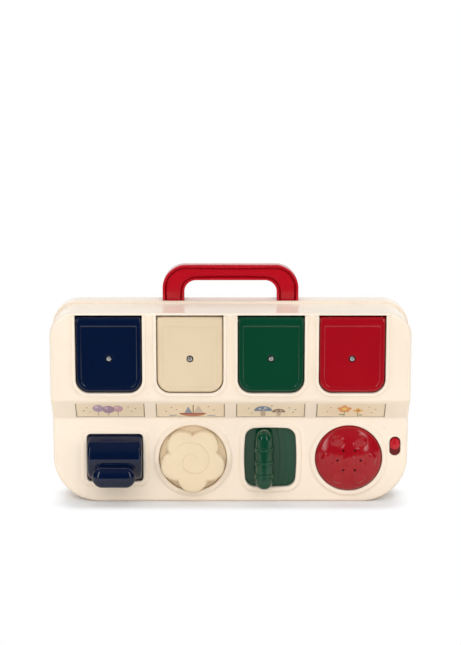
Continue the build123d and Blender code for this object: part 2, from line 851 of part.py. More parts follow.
def make_door(x):
    """Door panel with its hinge barrel, spring pocket, screw hole and catch."""
    with BuildPart() as door:
        with BuildSketch(facing(door_back_y)):
            with Locations((x, (door_bottom_z + hinge_z) / 2)):
                Rectangle(door_width, hinge_z - door_bottom_z)
            fillet(vertices().group_by(Axis.Y)[0], door_corner_radius - door_gap)
        extrude(amount=door_thickness)
        with Locations(Location((x, hinge_y, hinge_z), (0, 90, 0))):
            Cylinder(barrel_radius, door_width)
        with BuildSketch(facing(door_front_y + door_panel_depth)):
            panel_top = hinge_z - barrel_radius
            panel_bottom = door_bottom_z + door_border
            with Locations((x, (panel_top + panel_bottom) / 2)):
                Rectangle(door_width - 2 * door_border, panel_top - panel_bottom)
            fillet(vertices().group_by(Axis.Y)[0], door_corner_radius - door_gap - door_border)
        extrude(amount=door_panel_depth + overrun, mode=Mode.SUBTRACT)
        with Locations((x, (door_back_y + catch_back_y) / 2, catch_z + catch_thickness / 2)):
            Box(catch_width, catch_reach, catch_thickness)
        with Locations(Location((x, hinge_y, hinge_z), (0, 90, 0))):
            Cylinder(hinge_pin_radius + pin_gap, door_width + overrun, mode=Mode.SUBTRACT)
            Cylinder(spring_pocket_radius, spring_pocket_length, mode=Mode.SUBTRACT)
        with Locations((x, hinge_y + barrel_radius, hinge_z)):
            Box(spring_pocket_length, 2 * barrel_radius, 2 * door_spring_bore, mode=Mode.SUBTRACT)
        with BuildSketch(facing(door_back_y + overrun)):
            ring_outline(x, door_screw_z, door_screw_radius + running_gap)
        extrude(amount=door_thickness + 2 * overrun, mode=Mode.SUBTRACT)
        with BuildSketch(facing(door_front_y + door_screw_well)):
            ring_outline(x, door_screw_z, door_screw_hole_radius)
        extrude(amount=door_screw_well + overrun, mode=Mode.SUBTRACT)
    return door.part


def make_door_screw(x):
    """Pan-head screw through the middle of a door into the figure behind it."""
    seat_y = door_front_y + door_screw_well
    with BuildPart() as screw:
        with BuildSketch(facing(seat_y)):
            ring_outline(x, door_screw_z, door_screw_head_radius)
        extrude(amount=door_screw_head_height)
        fillet(edges().sort_by(Axis.Y)[0], door_screw_head_height / 2)
        with BuildSketch(facing(seat_y + door_screw_length)):
            ring_outline(x, door_screw_z, door_screw_radius)
        extrude(amount=door_screw_length)
    return screw.part


def make_figure(x, kind):
    """Animal bust with a flat back against the door, its head towards the door's free edge."""
    figure_y = door_back_y + figure_sink
    head_z = door_screw_z - figure_head_drop
    face_y = figure_y + figure_head_radius
    with BuildPart() as figure:
        spheroid(x, figure_y, door_screw_z + figure_body_lift, figure_body_radius, figure_body_height)
        with Locations((x, figure_y, head_z)):
            Sphere(figure_head_radius)
        for side in (-1, 1):
            if kind == "bear":
                ear_reach = figure_head_radius * ear_reach_share
                with Locations((x + side * ear_reach, figure_y, head_z - ear_reach)):
                    Sphere(bear_ear_radius)
            if kind == "rabbit":
                ear_x = x + side * (catch_width / 2 + rabbit_ear_radius + running_gap)
                ear_z = head_z - rabbit_ear_length / 2
                spheroid(ear_x, figure_y, ear_z, rabbit_ear_radius, rabbit_ear_length)
            if kind == "elephant":
                ear_x = x + side * (figure_head_radius + elephant_ear_radius * elephant_ear_share)
                bar(ear_x, head_z, elephant_ear_radius, figure_y, figure_y + elephant_ear_thickness)
            if kind == "cat":
                ear_x = x + side * figure_head_radius * ear_reach_share
                tip = figure_head_radius * ear_reach_share + cat_ear_height / 2
                with Locations(Location((ear_x, figure_y, head_z - tip), (180, 0, 0))):
                    Cone(cat_ear_width / 2, cat_ear_tip_radius, cat_ear_height)
        if kind == "elephant":
            trunk_z = head_z + elephant_trunk_length * elephant_ear_share
            spheroid(x, face_y, trunk_z, elephant_trunk_radius, elephant_trunk_length)
        else:
            with Locations((x, face_y - figure_muzzle_radius / 2, head_z)):
                Sphere(figure_muzzle_radius)
        split(bisect_by=facing(door_back_y), keep=Keep.BOTTOM)
        bar(
            x,
            door_screw_z,
            door_screw_radius + seat_gap,
            door_back_y - overrun,
            door_back_y + door_screw_length,
            Mode.SUBTRACT,
        )
    return figure.part


def make_picture_panel(x):
    """Thin picture panel lying in its recess in the sloped riser."""
    with BuildPart() as panel:
        with BuildSketch(riser_plane(x).offset(-panel_recess)):
            Rectangle(panel_width, panel_height)
        extrude(amount=panel_thickness)
    return panel.part


# Mechanism plate with latch guides, spring ledges and sound holes
latch_spring_y = plate_front_y - running_gap - latch_spring_radius
with BuildPart() as mechanism_plate:
    with BuildSketch(facing(plate_back_y)):
        with Locations((0, (plate_bottom_z + plate_top_z) / 2)):
            RectangleRounded(2 * plate_half_width, plate_top_z - plate_bottom_z, plate_corner_radius)
    extrude(amount=plate_thickness)
    for x in door_xs:
        for side in (-1, 1):
            guide_x = x + side * ((latch_width + guide_thickness) / 2 + running_gap)
            block(
                (guide_x - guide_thickness / 2, latch_front_y, plate_top_z - guide_height),
                (guide_x + guide_thickness / 2, plate_front_y, plate_top_z),
            )
        block(
            (
                x + spring_offset - latch_spring_radius,
                latch_spring_y - latch_spring_radius,
                spring_seat_z - guide_thickness,
            ),
            (x + spring_offset + latch_spring_radius, plate_front_y, spring_seat_z),
        )
    hole_radius = plate_screw_radius + running_gap
    for x, z in plate_screw_points:
        bar(x, z, hole_radius, plate_front_y - overrun, plate_back_y + overrun, Mode.SUBTRACT)
    with BuildSketch(facing(plate_back_y + overrun)):
        with Locations((button_x, button_z)):
            with PolarLocations(plate_sound_hole_circle, plate_sound_holes):
                Circle(plate_sound_hole_radius)
    extrude(amount=plate_thickness + 2 * overrun, mode=Mode.SUBTRACT)

# Where each control meets its latch
crank_pin_y = lever_axis_y + crank_radius * cos(radians(lever_travel / 2))
crank_pin_z = lever_z + crank_radius * sin(radians(lever_travel / 2))
knob_pin_x = knob_x + knob_pin_circle * cos(radians(knob_travel / 2))
knob_pin_z = knob_z + knob_pin_circle * sin(radians(knob_travel / 2))
cam_back_y = carriage_back_y + cam_length
wedge_top_z = button_z + wedge_rise
latch_feet_z = [
    crank_pin_z - crank_pin_radius - running_gap - fork_prong,
    knob_pin_z - knob_pin_radius - running_gap - fork_prong,
    slide_pin_z - slide_pin_radius - fork_prong,
    wedge_top_z - wedge_foot_length - wedge_foot_height,
]


def make_latch(index):
    """Sliding latch: a stem with an arm and nose for its door, a spring lug, and a foot for its control."""
    x = door_xs[index]
    half = latch_width / 2
    foot_z = latch_feet_z[index]
    with BuildPart() as latch:
        block((x - half, latch_front_y, foot_z), (x + half, latch_back_y, arm_top_z))
        block((x - half, nose_front_y, arm_bottom_z), (x + half, latch_back_y, arm_top_z))
        block((x - half, nose_front_y, arm_bottom_z), (x + half, nose_back_y, nose_top_z))
        block(
            (x, latch_front_y, spring_lug_z),
            (x + half + spring_lug_reach, latch_back_y, spring_lug_z + spring_lug_thickness),
        )
        if index == 0:
            slot = crank_pin_radius + running_gap
            tip_y = crank_pin_y - slot
            end_y = lever_axis_y + crank_radius + slot
            side = fork_width / 2
            block(
                (x - side, tip_y, crank_pin_z - slot - fork_prong),
                (x + side, latch_back_y, crank_pin_z + slot + fork_prong),
            )
            block(
                (x - half, tip_y - overrun, crank_pin_z - slot),
                (x + half, end_y, crank_pin_z + slot),
                Mode.SUBTRACT,
            )
        if index == 1:
            slot = knob_pin_radius + running_gap
            end_x = knob_x + knob_pin_circle + slot
            block(
                (x - half, latch_front_y, knob_pin_z - slot - fork_prong),
                (end_x + fork_prong, latch_back_y, knob_pin_z + slot + fork_prong),
            )
            block(
                (knob_pin_x - slot, latch_front_y - overrun, knob_pin_z - slot),
                (end_x, latch_back_y + overrun, knob_pin_z + slot),
                Mode.SUBTRACT,
            )
        if index == 2:
            pin_start_y = carriage_back_y + cam_length * cam_pin_start_share
            bar(x, slide_pin_z, slide_pin_radius, pin_start_y, latch_back_y)
        if index == 3:
            with BuildSketch(across(x - wedge_width / 2)):
                with BuildLine():
                    Polyline(
                        (latch_front_y, wedge_top_z),
                        (latch_front_y - wedge_foot_length, wedge_top_z - wedge_foot_length),
                        (latch_front_y - wedge_foot_length, foot_z),
                        (latch_front_y, foot_z),
                        close=True,
                    )
                make_face()
            extrude(amount=wedge_width)
    return latch.part


def make_latch_spring(x):
    """Return spring between the plate's ledge and the latch's lug."""
    middle = (x + spring_offset, latch_spring_y, spring_seat_z + latch_spring_length / 2)
    with BuildPart() as spring:
        with Locations(middle):
            Cylinder(latch_spring_radius, latch_spring_length - seat_gap)
            Cylinder(latch_spring_bore, latch_spring_length, mode=Mode.SUBTRACT)
    return spring.part


# Lever: a hollow drum sector on two webs, a thumb paddle in front and a crank behind
drum_edge_angle = degrees(atan2(lever_opening_height / 2, lever_axis_depth - case_wall)) + drum_margin_angle
drum_start = 180 - drum_edge_angle
drum_sweep = 2 * drum_edge_angle + lever_travel
paddle_way = Vector(0, -cos(radians(paddle_angle)), -sin(radians(paddle_angle)))
lever_axis_point = Vector(lever_x, lever_axis_y, lever_z)


def drum_sector(radius):
    """Pie slice of the lever's drum, seen from the side."""
    start = Vector(radius, 0).rotate(Axis.Z, drum_start)
    end = Vector(radius, 0).rotate(Axis.Z, drum_start + drum_sweep)
    with BuildSketch() as sector:
        with BuildLine():
            CenterArc((0, 0), radius, drum_start, drum_sweep)
            Line((0, 0), start)
            Line(end, (0, 0))
        make_face()
    with Locations((lever_axis_y, lever_z)):
        add(sector.sketch)


with BuildPart() as lever:
    with BuildSketch(across(lever_x - drum_length / 2)):
        drum_sector(drum_radius)
    extrude(amount=drum_length)
    fillet(edges().filter_by(GeomType.CIRCLE), drum_end_radius)
    with BuildSketch(across(lever_x - drum_length / 2 + lever_web)):
        with Locations((lever_axis_y, lever_z)):
            Circle(drum_radius - drum_skin)
    extrude(amount=drum_length - 2 * lever_web, mode=Mode.SUBTRACT)
    with BuildSketch(across(lever_x - drum_length / 2)):
        with Locations((lever_axis_y, lever_z)):
            Circle(lever_hub_radius)
    extrude(amount=drum_length)
    root_point = lever_axis_point + paddle_way * (drum_radius - drum_skin / 2)
    root = Plane(origin=root_point, x_dir=(1, 0, 0), z_dir=paddle_way)
    neck_radius = paddle_neck_thickness * paddle_round_share
    with BuildSketch(root):
        RectangleRounded(paddle_neck_width, paddle_neck_thickness, neck_radius)
    with BuildSketch(root.offset(paddle_reach)):
        RectangleRounded(paddle_width, paddle_thickness, paddle_thickness * paddle_round_share)
    loft()
    fillet(faces().sort_by(lambda face: face.center().Y)[0].edges(), paddle_edge_radius)
    for side in (-1, 1):
        arm_x = door_xs[0] + side * (fork_width / 2 + running_gap + crank_arm_thickness / 2)
        with BuildSketch(across(arm_x - crank_arm_thickness / 2)):
            with Locations(((lever_axis_y + crank_pin_y) / 2, (lever_z + crank_pin_z) / 2)):
                SlotCenterToCenter(crank_radius, crank_arm_width, rotation=lever_travel / 2)
        extrude(amount=crank_arm_thickness)
    with Locations(Location((door_xs[0], crank_pin_y, crank_pin_z), (0, 90, 0))):
        Cylinder(crank_pin_radius, fork_width + 2 * (running_gap + crank_arm_thickness))
    with Locations(Location((lever_x, lever_axis_y, lever_z), (0, 90, 0))):
        Cylinder(lever_axle_radius + pin_gap, drum_length + overrun, mode=Mode.SUBTRACT)

with BuildPart() as lever_axle:
    with Locations(Location((lever_x, lever_axis_y, lever_z), (0, 90, 0))):
        Cylinder(lever_axle_radius, 2 * lug_x_offset + lever_lug_thickness)

# Flower knob: five lobes with blended notches, a spiral groove and a shaft through the recess floor
knob_back_y = knob_floor_y - knob_foot_gap
knob_front_y = lower_deck_y - knob_front_rise
shaft_end_y = knob_floor_y + knob_floor + running_gap
knob_thread_y = shaft_end_y - knob_screw_length


def spiral_point(step):
    """Point on the knob's spiral, its radius growing evenly with the turn."""
    reach = knob_spiral_radius * step / knob_spiral_steps
    turn = radians(knob_spiral_start) + knob_spiral_turn * step
    return knob_x + reach * cos(turn), knob_z + reach * sin(turn)


with BuildPart() as flower_knob:
    with BuildSketch(facing(knob_back_y)):
        with Locations((knob_x, knob_z)):
            Circle(knob_core_radius)
            with PolarLocations(knob_lobe_circle, knob_lobes, start_angle=-90):
                Circle(knob_lobe_radius)
        fillet(vertices(), knob_blend_radius)
    extrude(amount=knob_back_y - knob_front_y)
    fillet(faces().sort_by(Axis.Y)[0].edges(), knob_edge_radius)
    with BuildSketch(facing(knob_front_y + knob_spiral_depth)):
        with BuildLine():
            Spline([spiral_point(step) for step in range(2, knob_spiral_steps + 1)])
        trace(line_width=knob_spiral_width)
    extrude(amount=knob_spiral_depth + overrun, mode=Mode.SUBTRACT)
    bar(knob_x, knob_z, knob_shaft_radius, knob_back_y, shaft_end_y)
    bar(knob_x, knob_z, knob_screw_radius + seat_gap, knob_thread_y, shaft_end_y, Mode.SUBTRACT)

knob_disc_y = shaft_end_y + knob_disc_thickness
with BuildPart() as knob_crank:
    bar(knob_x, knob_z, knob_disc_radius, shaft_end_y, knob_disc_y)
    bar(knob_pin_x, knob_pin_z, knob_pin_radius, shaft_end_y, latch_back_y)
    hole_radius = knob_screw_radius + running_gap
    bar(knob_x, knob_z, hole_radius, shaft_end_y - overrun, knob_disc_y + overrun, Mode.SUBTRACT)

# Slider: a carriage plate behind the opening with a sloped cam slot, and a banded grip in front
grip_x = slide_x - slide_travel / 2
grip_y = lower_deck_y - grip_rise
with BuildPart() as slide_carriage:
    block(
        (grip_x - carriage_half_width, carriage_front_y, slide_z - carriage_half_height),
        (grip_x + carriage_half_width, carriage_back_y, slide_z + carriage_half_height),
    )
    cam_x = slide_x - slide_travel / 2
    cam_z = slide_pin_z - slide_cam_drop / 2
    cam_half_width = slide_travel / 2 + slide_pin_radius + cam_wall
    cam_half_height = slide_cam_drop / 2 + slide_pin_radius + cam_wall
    block(
        (cam_x - cam_half_width, carriage_back_y, cam_z - cam_half_height),
        (cam_x + cam_half_width, cam_back_y, cam_z + cam_half_height),
    )
    with BuildSketch(facing(cam_back_y + overrun)):
        with Locations((cam_x, cam_z)):
            SlotCenterToCenter(
                hypot(slide_travel, slide_cam_drop),
                2 * (slide_pin_radius + running_gap),
                rotation=degrees(atan2(slide_cam_drop, slide_travel)),
            )
    extrude(amount=cam_length + overrun, mode=Mode.SUBTRACT)

with BuildPart() as slide_grip:
    with Locations((grip_x, grip_y, slide_z)):
        Cylinder(grip_radius, grip_length - 2 * grip_radius)
    for side in (-1, 1):
        with Locations((grip_x, grip_y, slide_z + side * (grip_length / 2 - grip_radius))):
            Sphere(grip_radius)
    for step in (-1, 0, 1):
        with Locations((grip_x, grip_y, slide_z - grip_band_drop + step * grip_band_pitch)):
            Cylinder(grip_band_radius, grip_band_height)
    block(
        (grip_x - grip_neck_width / 2, grip_y, slide_z - grip_neck_height / 2),
        (grip_x + grip_neck_width / 2, carriage_front_y, slide_z + grip_neck_height / 2),
    )

# Push button: a domed cap with bumps and sound holes, hollow behind, with a spring seat and a wedge
dome_sag = button_rise - button_shoulder
dome_radius = (button_radius**2 + dome_sag**2) / (2 * dome_sag)
apex_y = lower_deck_y - button_rise
dome_centre_y = apex_y + dome_radius
shoulder_y = lower_deck_y - button_shoulder
flange_front_y = deck_inner_y + running_gap
flange_back_y = flange_front_y + button_flange_thickness
button_axis = Axis((button_x, 0, button_z), (0, 1, 0))


def dome_profile(radius, wall, back):
    """Half section of the button's dome and skirt from the axis out to radius, moved in by wall."""
    ball = dome_radius - wall
    middle = radius / 2
    rim_y = dome_centre_y - sqrt(ball**2 - radius**2)
    with BuildSketch() as section:
        with BuildLine():
            ThreePointArc(
                (apex_y + wall, 0), (dome_centre_y - sqrt(ball**2 - middle**2), middle), (rim_y, radius)
            )
            Polyline((rim_y, radius), (back, radius), (back, 0), (apex_y + wall, 0))
        make_face()
    with Locations((0, button_z)):
        add(section.sketch)


with BuildPart() as button_cap:
    with BuildSketch(across(button_x)):
        dome_profile(button_radius, 0, flange_back_y)
    revolve(axis=button_axis)
    bar(button_x, button_z, button_radius + button_flange, flange_front_y, flange_back_y)
    bump_ball = (bump_radius**2 + bump_height**2) / (2 * bump_height)
    bump_depth = dome_radius + bump_height - bump_ball
    bump_tilt = asin(bump_circle / dome_radius)
    with Locations((button_x, dome_centre_y - bump_depth, button_z + bump_lift)):
        Sphere(bump_ball)
    for step in range(bump_count):
        reach = bump_depth * sin(bump_tilt)
        turn = 2 * pi * step / bump_count
        with Locations(
            (
                button_x + reach * cos(turn),
                dome_centre_y - bump_depth * cos(bump_tilt),
                button_z + bump_lift + reach * sin(turn),
            )
        ):
            Sphere(bump_ball)
    with BuildSketch(across(button_x)):
        dome_profile(button_radius - button_wall, button_wall, plate_front_y)
    revolve(axis=button_axis, mode=Mode.SUBTRACT)
    seat_y = shoulder_y
    bar(button_x, button_z, spring_seat_radius, apex_y + button_wall / 2, seat_y)
    bar(button_x, button_z, button_stub_radius, seat_y, seat_y + button_stub_length)
    wedge_x = door_xs[3]
    wedge_tip_y = latch_front_y - button_travel - running_gap
    wedge_top = button_z + button_radius - button_wall / 2
    wedge_line = wedge_top_z - latch_front_y + running_gap * sqrt(2)
    with BuildSketch(across(wedge_x - wedge_width / 2)):
        with BuildLine():
            Polyline(
                (lower_deck_y, wedge_top),
                (lower_deck_y, wedge_top - wedge_bar_height),
                (wedge_tip_y - wedge_face, wedge_top - wedge_bar_height),
                (wedge_tip_y - wedge_face, wedge_tip_y - wedge_face + wedge_line),
                (wedge_tip_y, wedge_tip_y + wedge_line),
                (wedge_tip_y, wedge_top),
                close=True,
            )
        make_face()
    extrude(amount=wedge_width)
    with BuildSketch(facing(flange_back_y)):
        with Locations((button_x, button_z + bump_lift)):
            with PolarLocations(sound_hole_circle, bump_count):
                Circle(sound_hole_radius)
    extrude(amount=flange_back_y - apex_y + overrun, mode=Mode.SUBTRACT)

with BuildPart() as button_spring:
    bar(button_x, button_z, button_spring_radius, seat_y + seat_gap, plate_front_y - seat_gap)
    bar(button_x, button_z, button_spring_bore, seat_y - overrun, plate_front_y + overrun, Mode.SUBTRACT)

# Power switch: knob in the oval slot and the switch body behind it
switch_knob_z = switch_z + switch_travel / 2
with BuildPart() as switch_knob:
    with BuildSketch(facing(flange_front_y)):
        with Locations((switch_x, switch_knob_z)):
            SlotOverall(switch_knob_length, switch_slot_width - 2 * switch_knob_gap, rotation=90)
    extrude(amount=flange_front_y - lower_deck_y + switch_knob_rise)
    fillet(faces().sort_by(Axis.Y)[0].edges(), switch_knob_rise / 2)
    with BuildSketch(facing(flange_front_y + switch_flange_thickness)):
        with Locations((switch_x, switch_knob_z)):
            flange_length = switch_knob_length + 2 * switch_tail
            SlotOverall(flange_length, switch_slot_width + 2 * switch_flange, rotation=90)
    extrude(amount=switch_flange_thickness)
    ridge_y = lower_deck_y - switch_knob_rise
    ridge_half = switch_slot_width / 2 - switch_knob_gap - switch_ridge_width
    block(
        (switch_x - ridge_half, ridge_y - switch_ridge_height, switch_knob_z - switch_ridge_width / 2),
        (switch_x + ridge_half, lower_deck_y, switch_knob_z + switch_ridge_width / 2),
    )

with BuildPart() as switch_body:
    block(
        (switch_x - switch_body_width / 2, switch_front_y, switch_z - switch_body_length / 2),
        (switch_x + switch_body_width / 2, switch_back_y, switch_z + switch_body_length / 2),
    )

# Batteries: cells lying across the box, contacts on its end walls and the cover behind
cell_y = battery_floor_y + battery_gap + cell_radius
cell_zs = [battery_z + cell_pitch * (row - (cell_count - 1) / 2) for row in range(cell_count)]
with BuildPart() as battery_cells:
    for row, z in enumerate(cell_zs):
        way = 1 if row % 2 else -1
        with Locations(Location((battery_x - way * cell_nub_length / 2, cell_y, z), (0, 90, 0))):
            Cylinder(cell_radius, cell_length)
        with Locations(Location((battery_x + way * cell_length / 2, cell_y, z), (0, 90, 0))):
            Cylinder(cell_nub_radius, cell_nub_length)

with BuildPart() as battery_contacts:
    for side in (-1, 1):
        contact_x = battery_x + side * (battery_inner_width - contact_thickness) / 2
        for z in cell_zs:
            with Locations((contact_x, cell_y, z)):
                Box(contact_thickness, contact_width, contact_width)

cover_inner_y = back_y - battery_cover_thickness
with BuildPart() as battery_cover:
    with BuildSketch(facing(back_y)):
        cover_outline(0)
    extrude(amount=battery_cover_thickness)
    bar(
        battery_x,
        cover_screw_z,
        plate_screw_radius + running_gap,
        cover_inner_y - overrun,
        back_y + overrun,
        Mode.SUBTRACT,
    )
    bar(
        battery_x,
        cover_screw_z,
        plate_screw_head_radius + running_gap,
        back_y - cover_screw_head_height,
        back_y + overrun,
        Mode.SUBTRACT,
    )

# Circuit board with its chip and capacitor, and the speaker behind the button
board_front_y = board_back_y - board_thickness
with BuildPart() as circuit_board:
    block(
        (board_x - board_width / 2, board_front_y, board_z - board_height / 2),
        (board_x + board_width / 2, board_back_y, board_z + board_height / 2),
    )
    chip_x = board_x - board_part_offset
    block(
        (chip_x - chip_width / 2, board_front_y - chip_height, board_z - chip_width / 2),
        (chip_x + chip_width / 2, board_front_y, board_z + chip_width / 2),
    )
    bar(
        board_x + board_part_offset,
        board_z,
        capacitor_radius,
        board_front_y - capacitor_height,
        board_front_y,
    )
    with BuildSketch(facing(board_back_y + overrun)):
        with Locations((board_x, board_z)):
            with GridLocations(2 * board_screw_x, 2 * board_screw_z, 2, 2):
                Circle(plate_screw_radius + running_gap)
    extrude(amount=board_thickness + 2 * overrun, mode=Mode.SUBTRACT)
board_screw_points = [
    (board_x + side * board_screw_x, board_z + level * board_screw_z)
    for side in (-1, 1)
    for level in (-1, 1)
]

cone_back_y = plate_back_y + speaker_flange_thickness + speaker_cone_depth
with BuildSketch() as speaker_section:
    with BuildLine():
        Polyline(
            (plate_back_y, speaker_cone_radius),
            (plate_back_y, speaker_radius),
            (plate_back_y + speaker_flange_thickness, speaker_radius),
            (plate_back_y + speaker_flange_thickness, speaker_cone_radius),
            (cone_back_y, speaker_magnet_radius),
            (cone_back_y + speaker_magnet_depth, speaker_magnet_radius),
            (cone_back_y + speaker_magnet_depth, 0),
            (cone_back_y - speaker_flange_thickness, 0),
            close=True,
        )
    make_face()
with BuildPart() as speaker:
    with BuildSketch(across(button_x)):
        with Locations((0, button_z)):
            add(speaker_section.sketch)
    revolve(axis=button_axis)

case_screws = make_screws(
    case_screw_points,
    screw_seat_y,
    -case_screw_length,
    case_screw_head_radius,
    case_screw_head_height,
    case_screw_radius,
)
plate_screws = make_screws(
    plate_screw_points,
    plate_back_y,
    -plate_screw_length,
    plate_screw_head_radius,
    plate_screw_head_height,
    plate_screw_radius,
)
board_screws = make_screws(
    board_screw_points,
    board_front_y,
    plate_screw_length,
    plate_screw_head_radius,
    plate_screw_head_height,
    plate_screw_radius,
)
cover_screw = make_screws(
    [(battery_x, cover_screw_z)],
    back_y - cover_screw_head_height,
    -plate_screw_length,
    plate_screw_head_radius,
    cover_screw_head_height,
    plate_screw_radius,
)
knob_screw = make_screws(
    [(knob_x, knob_z)],
    knob_disc_y,
    -knob_screw_length,
    knob_screw_head_radius,
    knob_screw_head_height,
    knob_screw_radius,
)

# One labelled file for each piece
pieces = {
    "front_shell": front_shell_finished.part,
    "rear_shell": rear_shell.part,
    "handle": handle.part,
    "hinge_pins": hinge_pins.part,
    "door_springs": door_springs.part,
    "mechanism_plate": mechanism_plate.part,
    "plate_screws": plate_screws,
    "case_screws": case_screws,
    "lever": lever.part,
    "lever_axle": lever_axle.part,
    "flower_knob": flower_knob.part,
    "knob_crank": knob_crank.part,
    "knob_screw": knob_screw,
    "slide_carriage": slide_carriage.part,
    "slide_grip": slide_grip.part,
    "button_cap": button_cap.part,
    "button_spring": button_spring.part,
    "switch_knob": switch_knob.part,
    "switch_body": switch_body.part,
    "battery_cells": battery_cells.part,
    "battery_contacts": battery_contacts.part,
    "battery_cover": battery_cover.part,
    "cover_screw": cover_screw,
    "circuit_board": circuit_board.part,
    "board_screws": board_screws,
    "speaker": speaker.part,
}
for index, colour in enumerate(door_colours):
    x = door_xs[index]
    pieces[f"well_cup_{colour}"] = make_well_cup(x)
    pieces[f"door_{colour}"] = make_door(x)
    pieces[f"door_screw_{colour}"] = make_door_screw(x)
    pieces[f"figure_{figure_kinds[index]}"] = make_figure(x, figure_kinds[index])
    pieces[f"picture_panel_{colour}"] = make_picture_panel(x)
    pieces[f"latch_{colour}"] = make_latch(index)
    pieces[f"latch_spring_{colour}"] = make_latch_spring(x)

os.makedirs("parts", exist_ok=True)
for name, piece in pieces.items():
    piece.label = name
    export_step(piece, f"parts/{name}.step")
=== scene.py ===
import json
from math import atan2, cos, degrees, hypot, pi, radians, sin, sqrt

import bmesh
import bpy
import numpy as np
from bpy.props import FloatProperty, FloatVectorProperty, PointerProperty
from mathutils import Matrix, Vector

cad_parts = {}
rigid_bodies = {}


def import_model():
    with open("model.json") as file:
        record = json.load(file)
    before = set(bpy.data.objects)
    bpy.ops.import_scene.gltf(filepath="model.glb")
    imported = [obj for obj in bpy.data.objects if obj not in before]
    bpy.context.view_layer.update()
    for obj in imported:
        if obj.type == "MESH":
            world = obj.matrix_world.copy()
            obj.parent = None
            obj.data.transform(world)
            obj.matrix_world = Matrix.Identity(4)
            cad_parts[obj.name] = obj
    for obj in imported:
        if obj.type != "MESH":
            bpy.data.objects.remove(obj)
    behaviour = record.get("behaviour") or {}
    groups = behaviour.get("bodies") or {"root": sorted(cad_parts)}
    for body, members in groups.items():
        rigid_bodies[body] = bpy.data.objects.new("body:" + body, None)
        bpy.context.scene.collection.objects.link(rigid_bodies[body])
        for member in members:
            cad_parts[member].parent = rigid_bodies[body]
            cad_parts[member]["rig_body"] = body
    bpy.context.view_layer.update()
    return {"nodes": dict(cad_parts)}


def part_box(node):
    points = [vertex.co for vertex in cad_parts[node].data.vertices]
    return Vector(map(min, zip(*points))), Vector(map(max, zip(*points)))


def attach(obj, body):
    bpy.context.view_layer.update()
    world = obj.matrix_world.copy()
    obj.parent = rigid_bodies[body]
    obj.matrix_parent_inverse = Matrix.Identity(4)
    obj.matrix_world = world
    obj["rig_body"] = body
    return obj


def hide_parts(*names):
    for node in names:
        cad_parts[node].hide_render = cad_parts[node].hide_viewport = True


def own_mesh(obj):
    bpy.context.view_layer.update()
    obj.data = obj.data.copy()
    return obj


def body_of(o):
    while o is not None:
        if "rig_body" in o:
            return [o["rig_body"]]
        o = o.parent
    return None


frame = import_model()

bl_info = {
    "name": "Pop-up toy",
    "version": (1, 0, 0),
    "blender": (4, 5, 0),
    "location": "View3D > Sidebar > Toy",
    "description": "Dresses the packed pop-up toy: shells, rims, doors, controls, figures and stage",
    "category": "Object",
}

MM = 0.001
COLOURS = ("blue", "cream", "green", "red")
FIGURES = ("bear", "rabbit", "elephant", "cat")
DOOR_XS = (-104.253, -34.751, 34.751, 104.253)
UPPER_DECK = -47.0
LOWER_DECK = -31.0
WALL = 2.4
DOOR = {
    "half": 28.8, "bottom": 101.5, "top": 169.4, "radius": 12.0, "leaf": 28.1, "foot": 102.2, "round": 11.3,
    "front": -46.6, "back": -43.6, "hinge": 164.2, "barrel": 3.6, "crown": 167.75, "panel_top": 160.0,
    "border": 4.2, "edge": 2.0, "sink": 0.6, "screw": 131.4, "well": 2.85,
}
ROOF_BEND = {"z": 167.5, "radius": 3.5}
DOOR_RIM = {"rise": 1.3, "width": 0.68, "skirt": 1.1}
LOWER_RIM = {"rise": 1.15, "width": 1.0, "skirt": 3.0}
HANDLE = {
    "y": 14.5, "half": 8.0, "root": (161.8, 172.6), "leg": (173.4, 180.0), "spread": 0.35, "flat": 12.0,
    "solid": 173.3,
}
HANDLE_OUTER = {"half": 59.985, "radius": 20.0, "top": 204.2}
HANDLE_INNER = {"half": 40.785, "radius": 10.5, "top": 191.2}
HANDLE_WEB = ((2.12, 4.2), (2.3, 3.5), (2.6, 3.3), (2.9, 3.5), (3.15, 4.3), (3.5, 4.7), (4.1, 4.8))
LEVER = {
    "x": -100.903, "y": -23.0, "z": 40.35, "radius": 21.67, "half": 23.75, "edge": 3.0,
    "sector": (101.6, 298.4), "opening": (24.55, 21.45), "corner": 3.5, "skin": 2.0, "hub": 5.0,
    "inside": (21.6, 19.3), "rear": -14.0,
}
PADDLE = {
    "tilt": 20.0, "seat": 1.1, "reach": 9.6, "dome": 6.0, "round": 8.5, "high": (5.0, 3.5),
    "wide": (16.5, 2.3), "lean": 0.28, "drop": 2.5,
}
KNOB = {
    "x": -32.902, "z": 39.8, "circle": 15.2, "lobe": 13.3, "edge": 3.0, "front": -43.0, "back": -27.1,
    "crown": 0.8, "step": 10.52, "spiral": (4.0, 18.4), "cut": 0.5, "start": -115.0, "recess": 29.7,
    "dish": -29.8, "neck": 6.0,
}
GRIP = {
    "x": 29.255, "y": -39.0, "z": 40.55, "half": 26.15, "radius": 7.75, "bands": (-13.8, -2.3, 9.2),
    "band": 8.65, "band_half": 2.1, "lean": 0.1, "neck": (4.0, 19.0, 3.6), "foot": (-29.6, -28.8, -28.32),
    "flare": (0.0, 0.0, 0.5, 1.3),
}
SLIDE = {"x": 34.751, "z": 40.55, "half": (22.9, 26.95), "bulge": (1.6, 0.8), "corner": 9.0}
SLIDE_FACE = {
    "x": (0.0, 63.0), "z": (13.4, 67.7), "y": -28.47, "grooves": (13.5, 19.0, 24.5), "bow": 3.2, "cut": 0.3,
    "width": 0.5,
}
BUTTON = {
    "x": 103.2036, "z": 40.0, "radius": 29.0, "ball": 59.8, "apex": -40.5, "shoulder": 2.6, "ring": 18.4,
    "lift": -0.2, "bump": 5.3, "bump_rise": 0.5, "hole_ring": 10.1, "hole": 0.9, "bore": 29.5,
    "flange": (31.2, -28.3, -26.3), "inside": 26.8,
}
